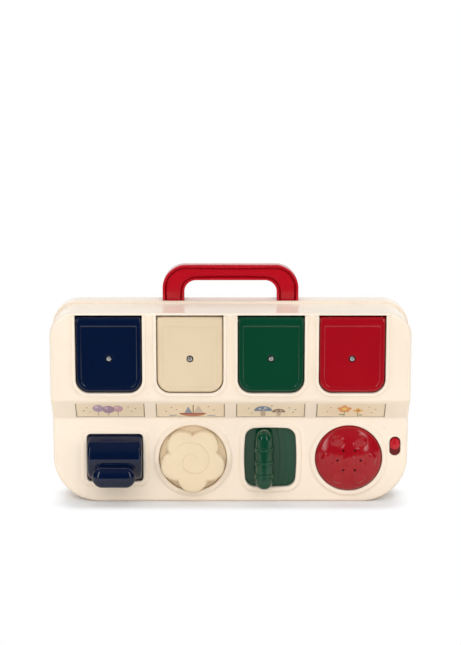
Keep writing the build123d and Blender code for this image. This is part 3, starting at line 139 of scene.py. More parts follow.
DOOR_SEAT = -44.8
CASE_SEAT = 6.0
CASE_SCREWS = (
    (-145.5, 152.0), (145.5, 152.0), (-145.5, 91.0), (145.5, 91.0), (-69.5, 91.0), (69.5, 91.0),
    (-78.0, 9.5), (78.0, 9.5),
)
SINK_MARKS = (
    (-129.4, 66.5, 1.5), (-3.0, 60.6, 1.5), (134.0, 66.5, 1.5), (-69.6, 101.5, 1.6), (73.4, 101.5, 1.6),
)
PRINT_SCALE = (1.25, 1.06)
CAMERA_PLACE = (0.0, -1.4296, 0.4196)
LAMP_AIM = (0.0, 0.0, 0.1)
FLOOR_BOUNCE = (0.88, 0.85, 0.79, 1.0)
WHITE = (1.0, 1.0, 1.0, 1.0)
TORSO = (0.0, -15.5, 0.0, (15.8, 14.8, 15.6))
PAWS = (11.2, -13.6, 8.6, (4.2, 6.4, 4.2))
BELLY = (0.0, -15.5, 7.6, (9.6, 10.0, 8.6))
MUZZLE = (0.0, -3.6, 10.4, (6.0, 4.8, 5.2))
NOSE = (0.0, -1.9, 15.2, (1.9, 1.3, 1.1))
EARS = {
    "bear": (9.7, 9.7, 0.0, (4.9, 4.9, 3.4)),
    "rabbit": (7.8, 8.6, 0.0, (3.5, 8.4, 2.9)),
    "elephant": (15.6, 0.4, 0.6, (8.6, 9.0, 2.2)),
    "cat": (8.6, 11.0, 0.0, (3.6, 4.8, 2.6)),
}
LININGS = {
    "bear": (9.9, 9.9, 2.2, (2.9, 2.9, 1.7)),
    "rabbit": (7.8, 9.6, 1.7, (1.8, 5.8, 1.6)),
    "elephant": (16.0, 0.2, 1.9, (6.0, 6.4, 1.4)),
    "cat": (8.7, 11.6, 1.5, (2.0, 3.0, 1.5)),
}
PANEL = {"z": 84.2, "rise": 0.776, "half": 29.6, "high": 9.3}
FIGURE = {"y": -38.6, "head": 121.7, "radius": 13.4, "back": -43.58}
SWITCH = {"x": 143.7, "z": 52.3, "half": (4.4, 5.5), "front": -32.3, "ridge": 0.7, "back": -28.3}


def linear(red, green, blue):
    """Scene-linear colour from screen values 0 to 255: c / 12.92, or ((c + 0.055) / 1.055)^2.4 above 0.04."""
    screen = np.array((red, green, blue)) / 255
    return tuple(np.where(screen > 0.04045, ((screen + 0.055) / 1.055) ** 2.4, screen / 12.92))


COLOUR = {"subtype": "COLOR", "size": 3}
LENGTH = {"min": 0.0, "unit": "LENGTH", "precision": 5}


class ToyColours(bpy.types.PropertyGroup):
    """Colours of the mouldings."""

    cream: FloatVectorProperty(name="Cream", description="Shells", default=linear(249, 235, 218), **COLOUR)
    beige: FloatVectorProperty(
        name="Beige", description="Cream door and knob", default=linear(239, 219, 187), **COLOUR
    )
    navy: FloatVectorProperty(
        name="Navy", description="Blue door and lever", default=linear(3, 20, 52), **COLOUR
    )
    green: FloatVectorProperty(
        name="Green", description="Green door and slider", default=linear(5, 66, 44), **COLOUR
    )
    red: FloatVectorProperty(
        name="Red", description="Red door, button, switch and handle", default=linear(188, 11, 31), **COLOUR
    )
    inner: FloatVectorProperty(
        name="Inner", description="Mechanism behind the decks", default=linear(222, 208, 190), **COLOUR
    )


class ToySizes(bpy.types.PropertyGroup):
    """Sizes of the finishing."""

    edge: FloatProperty(name="Edge", description="Rounding of moulded edges", default=0.0004, **LENGTH)
    rim_rise: FloatProperty(name="Rim rise", description="Height of the rims", default=0.0015, **LENGTH)
    rim_width: FloatProperty(name="Rim width", description="Width of the rims", default=0.0042, **LENGTH)
    groove: FloatProperty(name="Groove", description="Depth of the knob's spiral", default=0.0006, **LENGTH)


class ToyStage(bpy.types.PropertyGroup):
    """Light and camera."""

    key: FloatProperty(name="Key lamp", description="Power of the front lamp", default=20.6, unit="POWER")
    top: FloatProperty(name="Top lamp", description="Power of the overhead lamp", default=24.0, unit="POWER")
    back: FloatProperty(name="Back lamp", description="Power of the lamp behind", default=14.0, unit="POWER")
    side: FloatProperty(name="Side lamps", description="Power of each side lamp", default=3.2, unit="POWER")
    sky: FloatProperty(name="Sky", description="Strength of the light from all round", default=0.55)
    mirror: FloatProperty(name="Mirror", description="Strength of the room in reflections", default=0.02)
    lens: FloatProperty(name="Lens", description="Focal length", default=92.1, unit="CAMERA")
    tilt: FloatProperty(name="Tilt", description="Look downwards", default=radians(10.5), subtype="ANGLE")


def maths(operation, swapped=False):
    """Method of Wire that makes one Math node of that operation."""

    def method(self, other=0.0):
        first, second = (other, self) if swapped else (self, other)
        return self.finish.wire("ShaderNodeMath", {"operation": operation}, {0: first, 1: second})

    return method


class Wire:
    """A socket's output inside a material, with the sums that shader maths needs."""

    def __init__(self, finish, socket):
        self.finish = finish
        self.socket = socket

    __add__ = maths("ADD")
    __radd__ = maths("ADD", swapped=True)
    __sub__ = maths("SUBTRACT")
    __rsub__ = maths("SUBTRACT", swapped=True)
    __mul__ = maths("MULTIPLY")
    __rmul__ = maths("MULTIPLY", swapped=True)
    __truediv__ = maths("DIVIDE")
    __rtruediv__ = maths("DIVIDE", swapped=True)
    __abs__ = maths("ABSOLUTE")
    most = maths("MAXIMUM")

    def step(self, low, high):
        """Smooth step from 0 at low to 1 at high."""
        settings = {"interpolation_type": "SMOOTHSTEP"}
        return self.finish.wire("ShaderNodeMapRange", settings, {0: self, 1: low, 2: high, 3: 0.0, 4: 1.0})


class Finish:
    """The nodes of a procedural material, or of the world, in the making."""

    def __init__(self, holder):
        self.holder = holder
        holder.use_nodes = True
        self.tree = holder.node_tree
        self.tree.nodes.clear()

    def node(self, kind, settings, sockets):
        """Any node: its settings first, then the values or links of its sockets."""
        made = self.tree.nodes.new(kind)
        for name, value in settings.items():
            setattr(made, name, value)
        for key, value in sockets.items():
            if isinstance(value, Wire):
                self.tree.links.new(value.socket, made.inputs[key])
            else:
                made.inputs[key].default_value = value
        return made

    def wire(self, kind, settings, sockets, output=0):
        return Wire(self, self.node(kind, settings, sockets).outputs[output])

    def place(self):
        """The point on the object, in metres."""
        return self.wire("ShaderNodeTexCoord", {}, {}, "Object")

    def parts(self, vector):
        """The three numbers of a vector."""
        split = self.node("ShaderNodeSeparateXYZ", {}, {0: vector})
        return [Wire(self, split.outputs[axis]) for axis in range(3)]

    def away(self, x, z, middle_x, middle_z, radius):
        """Squared distance from a spot given in millimetres, 1 at its radius."""
        across, up = (x - middle_x * MM) / (radius * MM), (z - middle_z * MM) / (radius * MM)
        return across * across + up * up

    def stretch(self, vector, scale):
        return self.wire("ShaderNodeVectorMath", {"operation": "MULTIPLY"}, {0: vector, 1: scale})

    def noise(self, vector, scale, detail=2.0):
        sockets = {"Vector": vector, "Scale": scale, "Detail": detail}
        return self.wire("ShaderNodeTexNoise", {}, sockets, "Fac")

    def mix(self, share, first, second):
        """Colour that goes from first to second as share goes from 0 to 1."""
        sockets = {"Factor": share, 6: first, 7: second}
        return self.wire("ShaderNodeMix", {"data_type": "RGBA"}, sockets, 2)

    def bump(self, height, distance):
        return self.wire("ShaderNodeBump", {}, {"Strength": 1.0, "Distance": distance, "Height": height})

    def rays(self):
        """Whether the ray comes from the camera, and whether it is a reflection."""
        path = self.node("ShaderNodeLightPath", {}, {})
        return Wire(self, path.outputs["Is Camera Ray"]), Wire(self, path.outputs["Is Glossy Ray"])

    def close(self, **sockets):
        """Ends the material in a Principled shader with these sockets."""
        named = {key.replace("_", " "): value for key, value in sockets.items()}
        shader = self.wire("ShaderNodeBsdfPrincipled", {}, named)
        self.node("ShaderNodeOutputMaterial", {}, {"Surface": shader})
        return self.holder


def rgba(colour, gain=1.0):
    return (*[min(1.0, channel * gain) for channel in colour], 1.0)


def moulded(name, colour, roughness, shaded_dents=(), shaded_holes=()):
    """Glossy moulded plastic: clouding, grain and scuffs; sink marks as dents with painted shade in them, and
    holes painted near black as their shade, at (x, z, radius).
    """
    finish = Finish(bpy.data.materials.new(name))
    place = finish.place()
    cloud = finish.noise(place, 16.0, 3.0)
    grain = finish.noise(place, 1400.0)
    ripple = finish.noise(place, 90.0, 1.0)
    scuff = finish.noise(finish.stretch(place, (70.0, 70.0, 900.0)), 1.0).step(0.66, 0.74)
    base = finish.mix(cloud.step(0.3, 0.7), rgba(colour, 0.97), rgba(colour, 1.03))
    height = grain * 0.35 + ripple
    x, _, z = finish.parts(place)
    for spot in shaded_dents:
        dent_and_shade = 1.0 - finish.away(x, z, *spot).step(0.0, 1.0)
        height = height - dent_and_shade * 6.0
        # Painted shade: the colour darkens inside each sink mark, on top of the real dent that the bump
        # makes.
        base = finish.mix(dent_and_shade * 0.16, base, rgba(colour, 0.72))
    for spot in shaded_holes:
        # Painted shade: each hole is painted near black, standing in for the shade inside it.
        base = finish.mix(1.0 - finish.away(x, z, *spot).step(0.8, 1.25), base, rgba(colour, 0.02))
    return finish.close(
        Base_Color=base,
        Roughness=cloud * 0.05 + scuff * 0.05 + (roughness - 0.025),
        Normal=finish.bump(height, 0.000025),
        IOR=1.5,
    )


def plated(name, colour, roughness=0.28):
    """Plated steel: turned grain and slight tarnish."""
    finish = Finish(bpy.data.materials.new(name))
    place = finish.place()
    cloud = finish.noise(place, 220.0, 3.0)
    grain = finish.noise(finish.stretch(place, (2600.0, 300.0, 2600.0)), 1.0)
    return finish.close(
        Base_Color=finish.mix(cloud.step(0.35, 0.7), rgba(colour), rgba(colour, 0.8)),
        Roughness=grain * 0.12 + (roughness - 0.06),
        Metallic=1.0,
        Normal=finish.bump(grain, 0.00001),
    )


def satin(name, colour, second=None):
    """Soft satin vinyl: fine pebble grain and slow colour clouding."""
    finish = Finish(bpy.data.materials.new(name))
    place = finish.place()
    cloud = finish.noise(place, 60.0, 3.0)
    pebble = finish.noise(place, 1800.0)
    return finish.close(
        Base_Color=finish.mix(cloud.step(0.3, 0.7), rgba(colour, 0.94), rgba(second or colour, 1.04)),
        Roughness=cloud * 0.1 + 0.42,
        Normal=finish.bump(pebble, 0.00003),
        IOR=1.47,
    )


def surface(points, closed=True):
    """Points (rows, columns, 3) in millimetres and the quads between them; each row is a ring if closed."""
    rows, columns = points.shape[:2]
    along = np.arange(columns if closed else columns - 1)
    row, column = [index.ravel() for index in np.meshgrid(np.arange(rows - 1), along, indexing="ij")]
    here, there, beside = row * columns, (row + 1) * columns, (column + 1) % columns
    faces = np.stack((here + column, here + beside, there + beside, there + column), axis=1)
    return points.reshape(-1, 3), faces


def join_surfaces(surfaces):
    """Several surfaces as one list of points and faces."""
    points, faces, start = [], [], 0
    for part_points, part_faces in surfaces:
        points.append(part_points)
        faces.append(part_faces + start)
        start += len(part_points)
    return np.concatenate(points), np.concatenate(faces)


def new_piece(name, shape, body, material, replaced=(), angle=40.0, caps=False):
    """A finished object from points in millimetres and faces: merged, faces outwards, smooth up to angle."""
    points, faces = shape
    mesh = bpy.data.meshes.new(name)
    mesh.from_pydata((points * MM).tolist(), [], faces.tolist())
    work = bmesh.new()
    work.from_mesh(mesh)
    bmesh.ops.remove_doubles(work, verts=work.verts, dist=2e-6)
    bmesh.ops.dissolve_degenerate(work, dist=1e-7, edges=work.edges)
    if caps:
        bmesh.ops.holes_fill(work, edges=work.edges, sides=0)
    bmesh.ops.recalc_face_normals(work, faces=work.faces)
    work.to_mesh(mesh)
    work.free()
    return settle(name, mesh, body, material, replaced, angle)


def settle(name, mesh, body, material, replaced, angle):
    """Puts a finished mesh into the scene on its body."""
    mesh.shade_smooth()
    mesh.set_sharp_from_angle(angle=radians(angle))
    piece = bpy.data.objects.new(name, mesh)
    bpy.context.scene.collection.objects.link(piece)
    mesh.materials.clear()
    mesh.materials.append(material)
    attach(piece, body)
    if replaced:
        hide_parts(*replaced)
    return piece


def upright(x, depth, z):
    """Grid of points from widths, depths and heights, each spread to the grid's shape."""
    return np.stack(np.broadcast_arrays(x, depth, z), axis=-1)


def smooth(share):
    """Smooth step 3 s^2 - 2 s^3, held at 0 and 1."""
    share = np.clip(share, 0, 1)
    return share**2 * (3 - 2 * share)


def quarter(share, radius):
    """Fall along a quarter circle: R (1 - sqrt(1 - s^2)), s held between 0 and 1."""
    return radius * (1 - np.sqrt(1 - np.clip(share, 0, 1) ** 2))


def bell(away, width):
    """Rounded groove or ridge: exp(-(d / w)^2)."""
    return np.exp(-((away / width) ** 2))


def worked_mesh(name, source, change):
    """New mesh: the faces of a CAD node, merged at their corners and then changed by change(work)."""
    work = bmesh.new()
    work.from_mesh(source.data)
    bmesh.ops.remove_doubles(work, verts=work.verts, dist=1e-6)
    change(work)
    mesh = bpy.data.meshes.new(name)
    work.to_mesh(mesh)
    work.free()
    return mesh


def polished(node, material, edge):
    """Copy of a CAD node, merged and with flat faces rejoined, its sharp edges rounded by edge."""

    def rejoin(work):
        bmesh.ops.dissolve_limit(work, angle_limit=radians(0.5), verts=work.verts, edges=work.edges)

    angle = 32.0
    source = frame["nodes"][node]
    mesh = worked_mesh(f"{node}_skin", source, rejoin)
    piece = settle(f"{node}_skin", mesh, body_of(source)[0], material, (node,), angle)
    bevel = piece.modifiers.new("Rounded edges", "BEVEL")
    bevel.width = edge
    bevel.segments = 2
    bevel.limit_method = "ANGLE"
    bevel.angle_limit = radians(angle)
    weighted = piece.modifiers.new("Even shading", "WEIGHTED_NORMAL")
    weighted.keep_sharp = True
    return piece


def works(name, node, material, keep):
    """Copy of a CAD node's hidden faces: those whose middles, in millimetres, satisfy keep(x, y, z)."""

    def drop(work):
        middles = np.array([face.calc_center_median() for face in work.faces]).T / MM
        work.faces.ensure_lookup_table()
        out = [work.faces[index] for index in np.flatnonzero(~keep(*middles))]
        bmesh.ops.delete(work, geom=out, context="FACES")

    source = frame["nodes"][node]
    return settle(name, worked_mesh(name, source, drop), body_of(source)[0], material, (), 30.0)


def dress(nodes, material):
    """Gives CAD nodes that stay as they are a finished material."""
    for node in nodes:
        mesh = frame["nodes"][node].data
        mesh.materials.clear()
        mesh.materials.append(material)


def arc_run(centre, radius, start, end, count):
    """Points and outward normals along an arc: centre + radius (cos a, sin a), a in degrees."""
    angle = np.radians(np.linspace(start, end, count))
    normal = np.stack((np.cos(angle), np.sin(angle)), axis=1)
    return np.array(centre) + radius * normal, normal


def chain(*runs):
    """Several runs as one outline; the straight stretches lie between them."""
    return np.concatenate([run[0] for run in runs]), np.concatenate([run[1] for run in runs])


def rounded_box(x, z, half_x, half_z, radius, count=9):
    """Rounded rectangle round (x, z): four quarter arcs."""
    across, up = half_x - radius, half_z - radius
    return chain(
        arc_run((x + across, z + up), radius, 0, 90, count),
        arc_run((x - across, z + up), radius, 90, 180, count),
        arc_run((x - across, z - up), radius, 180, 270, count),
        arc_run((x + across, z - up), radius, 270, 360, count),
    )


def barrel_box(x, z, half_x, half_z, bulge_x, bulge_z, radius):
    """Rectangle with bowed sides: the corner arc touches the two side arcs of radius (c^2 + s^2) / (2 s)."""
    count = 12
    side = ((half_z - bulge_z) ** 2 + bulge_x**2) / (2 * bulge_x)
    top = ((half_x - bulge_x) ** 2 + bulge_z**2) / (2 * bulge_z)
    first, second = np.array((half_x - side, 0.0)), np.array((0.0, half_z - top))
    reach, other = side - radius, top - radius
    gap = second - first
    length = hypot(*gap)
    along = (reach**2 - other**2 + length**2) / (2 * length)
    aside = sqrt(reach**2 - along**2)
    corner = first + gap / length * along + np.array((-gap[1], gap[0])) / length * aside
    corner = np.abs(corner)
    low = degrees(atan2(corner[1], corner[0] - first[0]))
    high = degrees(atan2(corner[1] - second[1], corner[0]))
    runs = []
    for turn, way_x, way_z in ((0, 1, 1), (1, -1, 1), (2, -1, -1), (3, 1, -1)):
        start, end = (low, high) if way_x * way_z > 0 else (180 - high, 180 - low)
        if way_z < 0:
            start, end = (180 + low, 180 + high) if way_x < 0 else (360 - high, 360 - low)
        runs.append(arc_run((x + way_x * corner[0], z + way_z * corner[1]), radius, start, end, count))
        if turn in (0, 2):
            facing = 90 if turn == 0 else 270
            middle = (x, z + way_z * second[1])
            runs.append(arc_run(middle, top, facing - (90 - high), facing + (90 - high), count))
        else:
            facing = 180 if turn == 1 else 360
            middle = (x + way_x * first[0], z)
            runs.append(arc_run(middle, side, facing - low, facing + low, count))
    return chain(*runs)


def node_box(node):
    """Lowest and highest corner of a CAD node, in millimetres."""
    return [np.array(corner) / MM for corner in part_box(node)]


def rim_profile(rise, width, skirt):
    """Section of a rim: (distance outside the opening, height over the deck), a foot and a bead."""
    bead, sunk = 0.87, 0.004
    out = np.linspace(0, 1, 11)
    foot = np.stack((width + skirt * (0.5 - out), rise * smooth(out) - sunk), axis=1)
    turn = np.radians(np.linspace(90, 180, 8))
    lip = np.stack((0.75 + bead * np.cos(turn), rise - bead + bead * np.sin(turn)), axis=1)
    return np.concatenate((foot, lip, [(-0.12, -WALL + 0.1)]))


def rim_sweep(path, profile, deck):
    """Profile carried along an outline: point + normal x distance, and height in front of the deck."""
    points, normals = path
    flat = points + profile[:, 0][:, None, None] * normals
    return upright(flat[..., 0], deck - profile[:, 1][:, None], flat[..., 1])


def round_axis(axis, along, first, second):
    """Points from distances along an axis X, Y or Z and along the two directions square to it."""
    orders = {"X": (along, first, second), "Y": (first, along, second), "Z": (first, second, along)}
    return upright(*orders[axis])


def revolve(profile, centre, axis, count):
    """Profile (radius, distance along axis) turned round a line through centre along axis X, Y or Z."""
    angle = np.linspace(0, 2 * pi, count, endpoint=False)
    radius, along = profile[:, 0][:, None], profile[:, 1][:, None]
    return round_axis(axis, along, radius * np.cos(angle), radius * np.sin(angle)) + np.array(centre)


def ellipsoid(centre, radii):
    """Ellipsoid: centre + radii (cos u cos v, cos u sin v, sin u)."""
    up = np.linspace(-pi / 2, pi / 2, 28)
    unit = revolve(np.stack((np.cos(up), np.sin(up)), axis=1), (0.0, 0.0, 0.0), "Z", 48)
    return surface(np.array(centre) + unit * np.array(radii))


def tube(path, radius, count=10):
    """Round tube along a path: path + radius (cos a side + sin a up), with side and up square to the path."""
    ahead = np.gradient(path, axis=0)
    ahead /= np.linalg.norm(ahead, axis=1)[:, None]
    helper = np.where(np.abs(ahead[:, :1]) < 0.9, (1.0, 0.0, 0.0), (0.0, 0.0, 1.0))
    side = np.cross(ahead, helper)
    side /= np.linalg.norm(side, axis=1)[:, None]
    up = np.cross(ahead, side)
    angle = np.linspace(0, 2 * pi, count, endpoint=False)
    ring = np.cos(angle)[None, :, None] * side[:, None, :] + np.sin(angle)[None, :, None] * up[:, None, :]
    return surface(path[:, None, :] + radius * ring)


def coil(centre, axis, radius, wire, length, turns, taper=1.0):
    """Spring: a tube on a helix, r (cos a, sin a) and even rise; r falls to taper r halfway along."""
    narrow, run = 0.22, 0.28
    share = np.linspace(0, 1, int(turns * 26))
    angle = 2 * pi * turns * share
    rise = (share - 0.5) * (length - 2 * wire)
    reach = radius * (1 + (taper - 1) * np.clip((share - narrow) / run, 0, 1))
    path = round_axis(axis, rise, reach * np.cos(angle), reach * np.sin(angle))
    return tube(path + np.array(centre), wire)


def screw_head(centre, radius, height, way):
    """Pan head: a dome h (1 - 0.45 r^4), less a cross whose arms reach 0.62 R and 0.14 R to each side."""
    columns = 96
    share = np.linspace(0, 1, 26)[:, None]
    angle = np.linspace(0, 2 * pi, columns, endpoint=False)
    first, second = radius * share * np.cos(angle), radius * share * np.sin(angle)
    arm = np.minimum(np.abs(first), np.abs(second))
    reach = np.maximum(np.abs(first), np.abs(second))
    cross = np.clip((0.14 * radius - arm) / (0.06 * radius), 0, 1)
    cross = cross * np.clip((0.62 * radius - reach) / (0.1 * radius), 0, 1)
    rise = height * (1 - 0.45 * share**4) - 0.55 * height * cross
    edge = upright(first[-1:], 0.0, second[-1:])
    points = np.concatenate((upright(first, way * rise, second), edge, np.zeros((1, columns, 3))))
    return surface(points + np.array(centre))


def six_round(ring):
    """Six places on a ring of the button, (across, up) from its middle."""
    turns = np.radians(np.arange(6) * 60.0)
    return [(ring * cos(turn), BUTTON["lift"] + ring * sin(turn)) for turn in turns]


def button_holes():
    """Places and radius of the button's six sound holes, (x, z, radius)."""
    places = six_round(BUTTON["hole_ring"])
    return [(BUTTON["x"] + across, BUTTON["z"] + up, BUTTON["hole"]) for across, up in places]


def finish_of(name):
    """The finished material of that name, made once."""
    if name in bpy.data.materials:
        return bpy.data.materials[name]
    colours = bpy.context.scene.toy_colours
    beige, red = np.array(colours.beige), np.array(colours.red)
    # Painted shade: the well round each door screw's head is painted near black.
    shaded_wells = [(x, DOOR["screw"], DOOR["well"]) for x in DOOR_XS]
    mouldings = {
        "cream_moulding": (colours.cream, 0.2, SINK_MARKS),
        "beige_moulding": (beige, 0.24),
        "door_beige_moulding": (0.88 * beige, 0.16, (), shaded_wells),
        "navy_moulding": (colours.navy, 0.1, (), shaded_wells),
        "green_moulding": (colours.green, 0.11, (), shaded_wells),
        "red_moulding": (red, 0.13),
        "door_red_moulding": (0.72 * red, 0.1, (), shaded_wells),
        # Painted shade: the button's six sound holes are painted near black.
        "button_red_moulding": (0.7 * red, 0.13, (), button_holes()),
        # Painted shade: the switch's sliding plate is a dark copy of the red, standing in for the shade in
        # its slot.
        "plate_red_moulding": (0.3 * red, 0.5),
        "inner_moulding": (colours.inner, 0.42),
        # Painted shade: the wells behind the doors get a dark brown that stands in for the shade inside them.
        "well_moulding": (linear(54, 44, 37), 0.5),
        "black_moulding": (linear(28, 28, 30), 0.4),
        "board_lacquer": (linear(20, 92, 52), 0.32),
        "cell_wrap": (linear(52, 54, 60), 0.3),
        "eye_vinyl": (linear(24, 20, 20), 0.12),
    }
    steels = {
        "plated_steel": (linear(205, 207, 210),),
        "bright_steel": (linear(242, 244, 248), 0.5),
        "spring_wire": (linear(190, 192, 196), 0.22),
    }
    vinyls = {
        "bear_vinyl": (linear(150, 104, 66), linear(165, 116, 74)),
        "rabbit_vinyl": (linear(238, 229, 218),),
        "elephant_vinyl": (linear(150, 162, 176),),
        "cat_vinyl": (linear(222, 146, 78), linear(232, 160, 92)),
        "pale_vinyl": (linear(240, 224, 204),),
        "pink_vinyl": (linear(226, 160, 156),),
    }
    for make, recipes in ((plated, steels), (satin, vinyls)):
        if name in recipes:
            return make(name, *recipes[name])
    return moulded(name, *mouldings[name])


def handle_line(line, heights):
    """One edge of the handle: up the left leg, round the bend and across, then mirrored to the right."""
    half, radius, top = line["half"], line["radius"], line["top"]
    leg = np.stack((np.full(len(heights), -half), heights), axis=1)
    bend, _ = arc_run((radius - half, top - radius), radius, 180, 90, 20)
    left = np.concatenate((leg, bend, [(-HANDLE["flat"], top)]))
    return np.concatenate((left, (left * (-1, 1))[::-1]))


def handle_shape():
    """Handle: a flanged section carried round a U, at matching points of an inner and an outer line."""
    root, leg = np.linspace(*HANDLE["root"], 4), np.linspace(*HANDLE["leg"], 8)
    half = HANDLE["half"]
    inner = handle_line(HANDLE_INNER, np.concatenate((root, leg)))
    outer = handle_line(HANDLE_OUTER, np.concatenate((root, leg + (leg - leg[0]) * HANDLE["spread"])))
    bend = np.radians(np.linspace(0, 90, 6))
    lip = np.stack((0.8 - 0.8 * np.cos(bend), half - 0.8 + 0.8 * np.sin(bend)), axis=1)
    drop = np.stack((1.75 + 0.35 * np.sin(bend), half - 0.35 + 0.35 * np.cos(bend)), axis=1)
    rim = np.concatenate((lip, drop, HANDLE_WEB))
    away = np.concatenate((rim[:, 0], rim[::-1, 0], rim[:, 0], rim[::-1, 0]))
    depth = np.concatenate((rim[:, 1], rim[::-1, 1], -rim[:, 1], -rim[::-1, 1]))
    side = np.repeat((0, 1, 1, 0), len(rim))
    across = outer - inner
    width = np.linalg.norm(across, axis=1)[:, None]
    share = np.where(side == 0, away, width - away) / width
    flat = inner[:, None, :] + share[:, :, None] * across[:, None, :]
    solid = np.clip((HANDLE["solid"] - inner[:, 1]) / 0.3, 0, 1)[:, None]
    filled = np.sign(depth) * np.maximum(np.abs(depth), solid * half * 0.998)
    return surface(upright(flat[..., 0], HANDLE["y"] + filled, flat[..., 1]))


def drum_shape():
    """Lever's drum: a rounded skin section (x, radius) and its inner side, carried round the axle."""
    half, radius, edge, hub = LEVER["half"], LEVER["radius"], LEVER["edge"], LEVER["hub"]
    corner, _ = arc_run((half - edge, radius - edge), edge, 90, 0, 8)
    outer = np.concatenate(([(half, hub)], corner[::-1], corner * (-1, 1), [(-half, hub)]))
    wide, high = half - LEVER["skin"], radius - LEVER["skin"]
    section = np.concatenate((outer, [(-wide, hub), (-wide, high), (wide, high), (wide, hub)]))
    angle = np.radians(np.linspace(*LEVER["sector"], 60))[:, None]
    out = section[:, 1]
    y, z = LEVER["y"] + out * np.cos(angle), LEVER["z"] + out * np.sin(angle)
    return surface(upright(LEVER["x"] + section[:, 0], y, z))


def paddle_shape():
    """Thumb paddle: stadium sections, W + w s wide and H + h s high, carried outwards, then a dome."""
    neck = np.array((-2.0, -0.9, -0.2, 0.5, 1.4, 2.6, 4.4, 6.2, 8.0, PADDLE["reach"]))
    flare = np.concatenate(((3.4, 1.7, 0.85, 0.3, 0.06), np.zeros(34)))
    bend = np.linspace(0, pi / 2, 30)[1:]
    reach = np.concatenate((neck, PADDLE["reach"] + PADDLE["dome"] * np.sin(bend)))
    share = np.clip(reach / PADDLE["reach"], 0, 1)
    shrink = np.concatenate((np.zeros(10), PADDLE["round"] * (1 - np.cos(bend))))
    high, wide = [start + grow * share + flare - shrink for start, grow in (PADDLE["high"], PADDLE["wide"])]
    reach, share, high, wide = [row[:, None] for row in (reach, share, high, wide)]
    run = np.radians(np.concatenate((np.linspace(-90, 90, 33), np.linspace(90, 270, 33))))
    side = np.repeat((1.0, -1.0), 33)
    tilt = radians(PADDLE["tilt"])
    lift = high * np.sin(run)
    along = LEVER["radius"] - PADDLE["seat"] + reach - PADDLE["lean"] * share**2 * lift
    aside = (wide - high) * side + high * np.cos(run)
    above = lift - PADDLE["drop"] * share
    points = upright(
        LEVER["x"] + aside,
        LEVER["y"] - cos(tilt) * along - sin(tilt) * above,
        LEVER["z"] - sin(tilt) * along + cos(tilt) * above,
    )
    return surface(points)


def knob_shape(groove):
    """Flower: edge R(a) = c cos a + sqrt(r^2 - c^2 sin^2 a) for each lobe; a spiral r = k a on its face."""
    columns = 420
    angle = np.linspace(0, 2 * pi, columns, endpoint=False)
    lobe = (angle + pi / 2 + pi / 5) % (2 * pi / 5) - pi / 5
    circle, ball, edge, front, back = [KNOB[key] for key in ("circle", "lobe", "edge", "front", "back")]
    reach = circle * np.cos(lobe) + np.sqrt(ball**2 - (circle * np.sin(lobe)) ** 2)
    face = np.linspace(0, 1, 110)[:, None] * (reach - edge)
    lap = (face / KNOB["step"] - (angle - radians(KNOB["start"])) / (2 * pi)) % 1
    gap = np.minimum(lap, 1 - lap) * KNOB["step"]
    start, end = KNOB["spiral"]
    fade = np.clip((end - face) / 0.8, 0, 1) * np.clip((face - start) / 2, 0, 1)
    face_depth = front + groove * bell(gap, KNOB["cut"]) * fade + 0.9 * (face / 28.0) ** 2
    bend = np.radians(np.linspace(8, 90, 9))[:, None]
    round_out = reach - edge + edge * np.sin(bend)
    round_depth = front + KNOB["crown"] + (edge - KNOB["crown"]) * (1 - np.cos(bend))
    seat, neck = KNOB["dish"] - 0.2, np.full(columns, KNOB["neck"])
    side_out = np.stack((reach, reach, reach * 0.9, neck, neck, neck * 0))
    side_depth = np.array((seat - 0.5, seat - 0.1, seat, seat, back, back))[:, None]
    out = np.concatenate((face, round_out, side_out))
    rows = [np.broadcast_to(part, (len(part), columns)) for part in (face_depth, round_depth, side_depth)]
    x, z = KNOB["x"] + out * np.cos(angle), KNOB["z"] + out * np.sin(angle)
    return surface(upright(x, np.concatenate(rows), z))


def grip_shape():
    """Slider's grip: a capsule round Z, r = sqrt(R^2 - e^2) at its ends, with bands, leaning by k z."""
    radius, half = GRIP["radius"], GRIP["half"]
    along = half * np.sin(np.linspace(-pi / 2, pi / 2, 560))
    over = np.maximum(np.abs(along) - (half - radius), 0)
    out = np.sqrt(np.maximum(radius**2 - over**2, 0))
    for centre in GRIP["bands"]:
        near = smooth((GRIP["band_half"] + 0.2 - np.abs(along - centre)) / 0.4)
        rise = (GRIP["band"] - radius) * (1 - 0.3 * bell(along - centre, 0.4))
        out = out + rise * near * (out > radius - 0.5)
    points = revolve(np.stack((out, along), axis=1), (GRIP["x"], GRIP["y"], GRIP["z"]), "Z", 72)
    points[..., 1] += GRIP["lean"] * (points[..., 2] - GRIP["z"])
    path, normals = rounded_box(GRIP["x"], GRIP["z"], *GRIP["neck"], 8)
    spots = path + np.array(GRIP["flare"])[:, None, None] * normals
    depth = np.array((GRIP["y"] + 4.0, *GRIP["foot"]))[:, None]
    neck = upright(spots[..., 0], depth, spots[..., 1])
    return join_surfaces([surface(part) for part in (points, neck)])


def slide_face_shape():
    """Slider's plate: a sheet y(x, z) with three shallow bowed grooves beside the grip."""
    x = np.linspace(*SLIDE_FACE["x"], 330)[None, :]
    z = np.linspace(*SLIDE_FACE["z"], 120)[:, None]
    bow = SLIDE_FACE["bow"] * ((z - GRIP["z"]) / 27.0) ** 2
    places = [GRIP["x"] + groove - bow for groove in SLIDE_FACE["grooves"]]
    cut = sum(SLIDE_FACE["cut"] * bell(x - place, SLIDE_FACE["width"]) for place in places)
    return surface(upright(x, SLIDE_FACE["y"] + cut, z), closed=False)


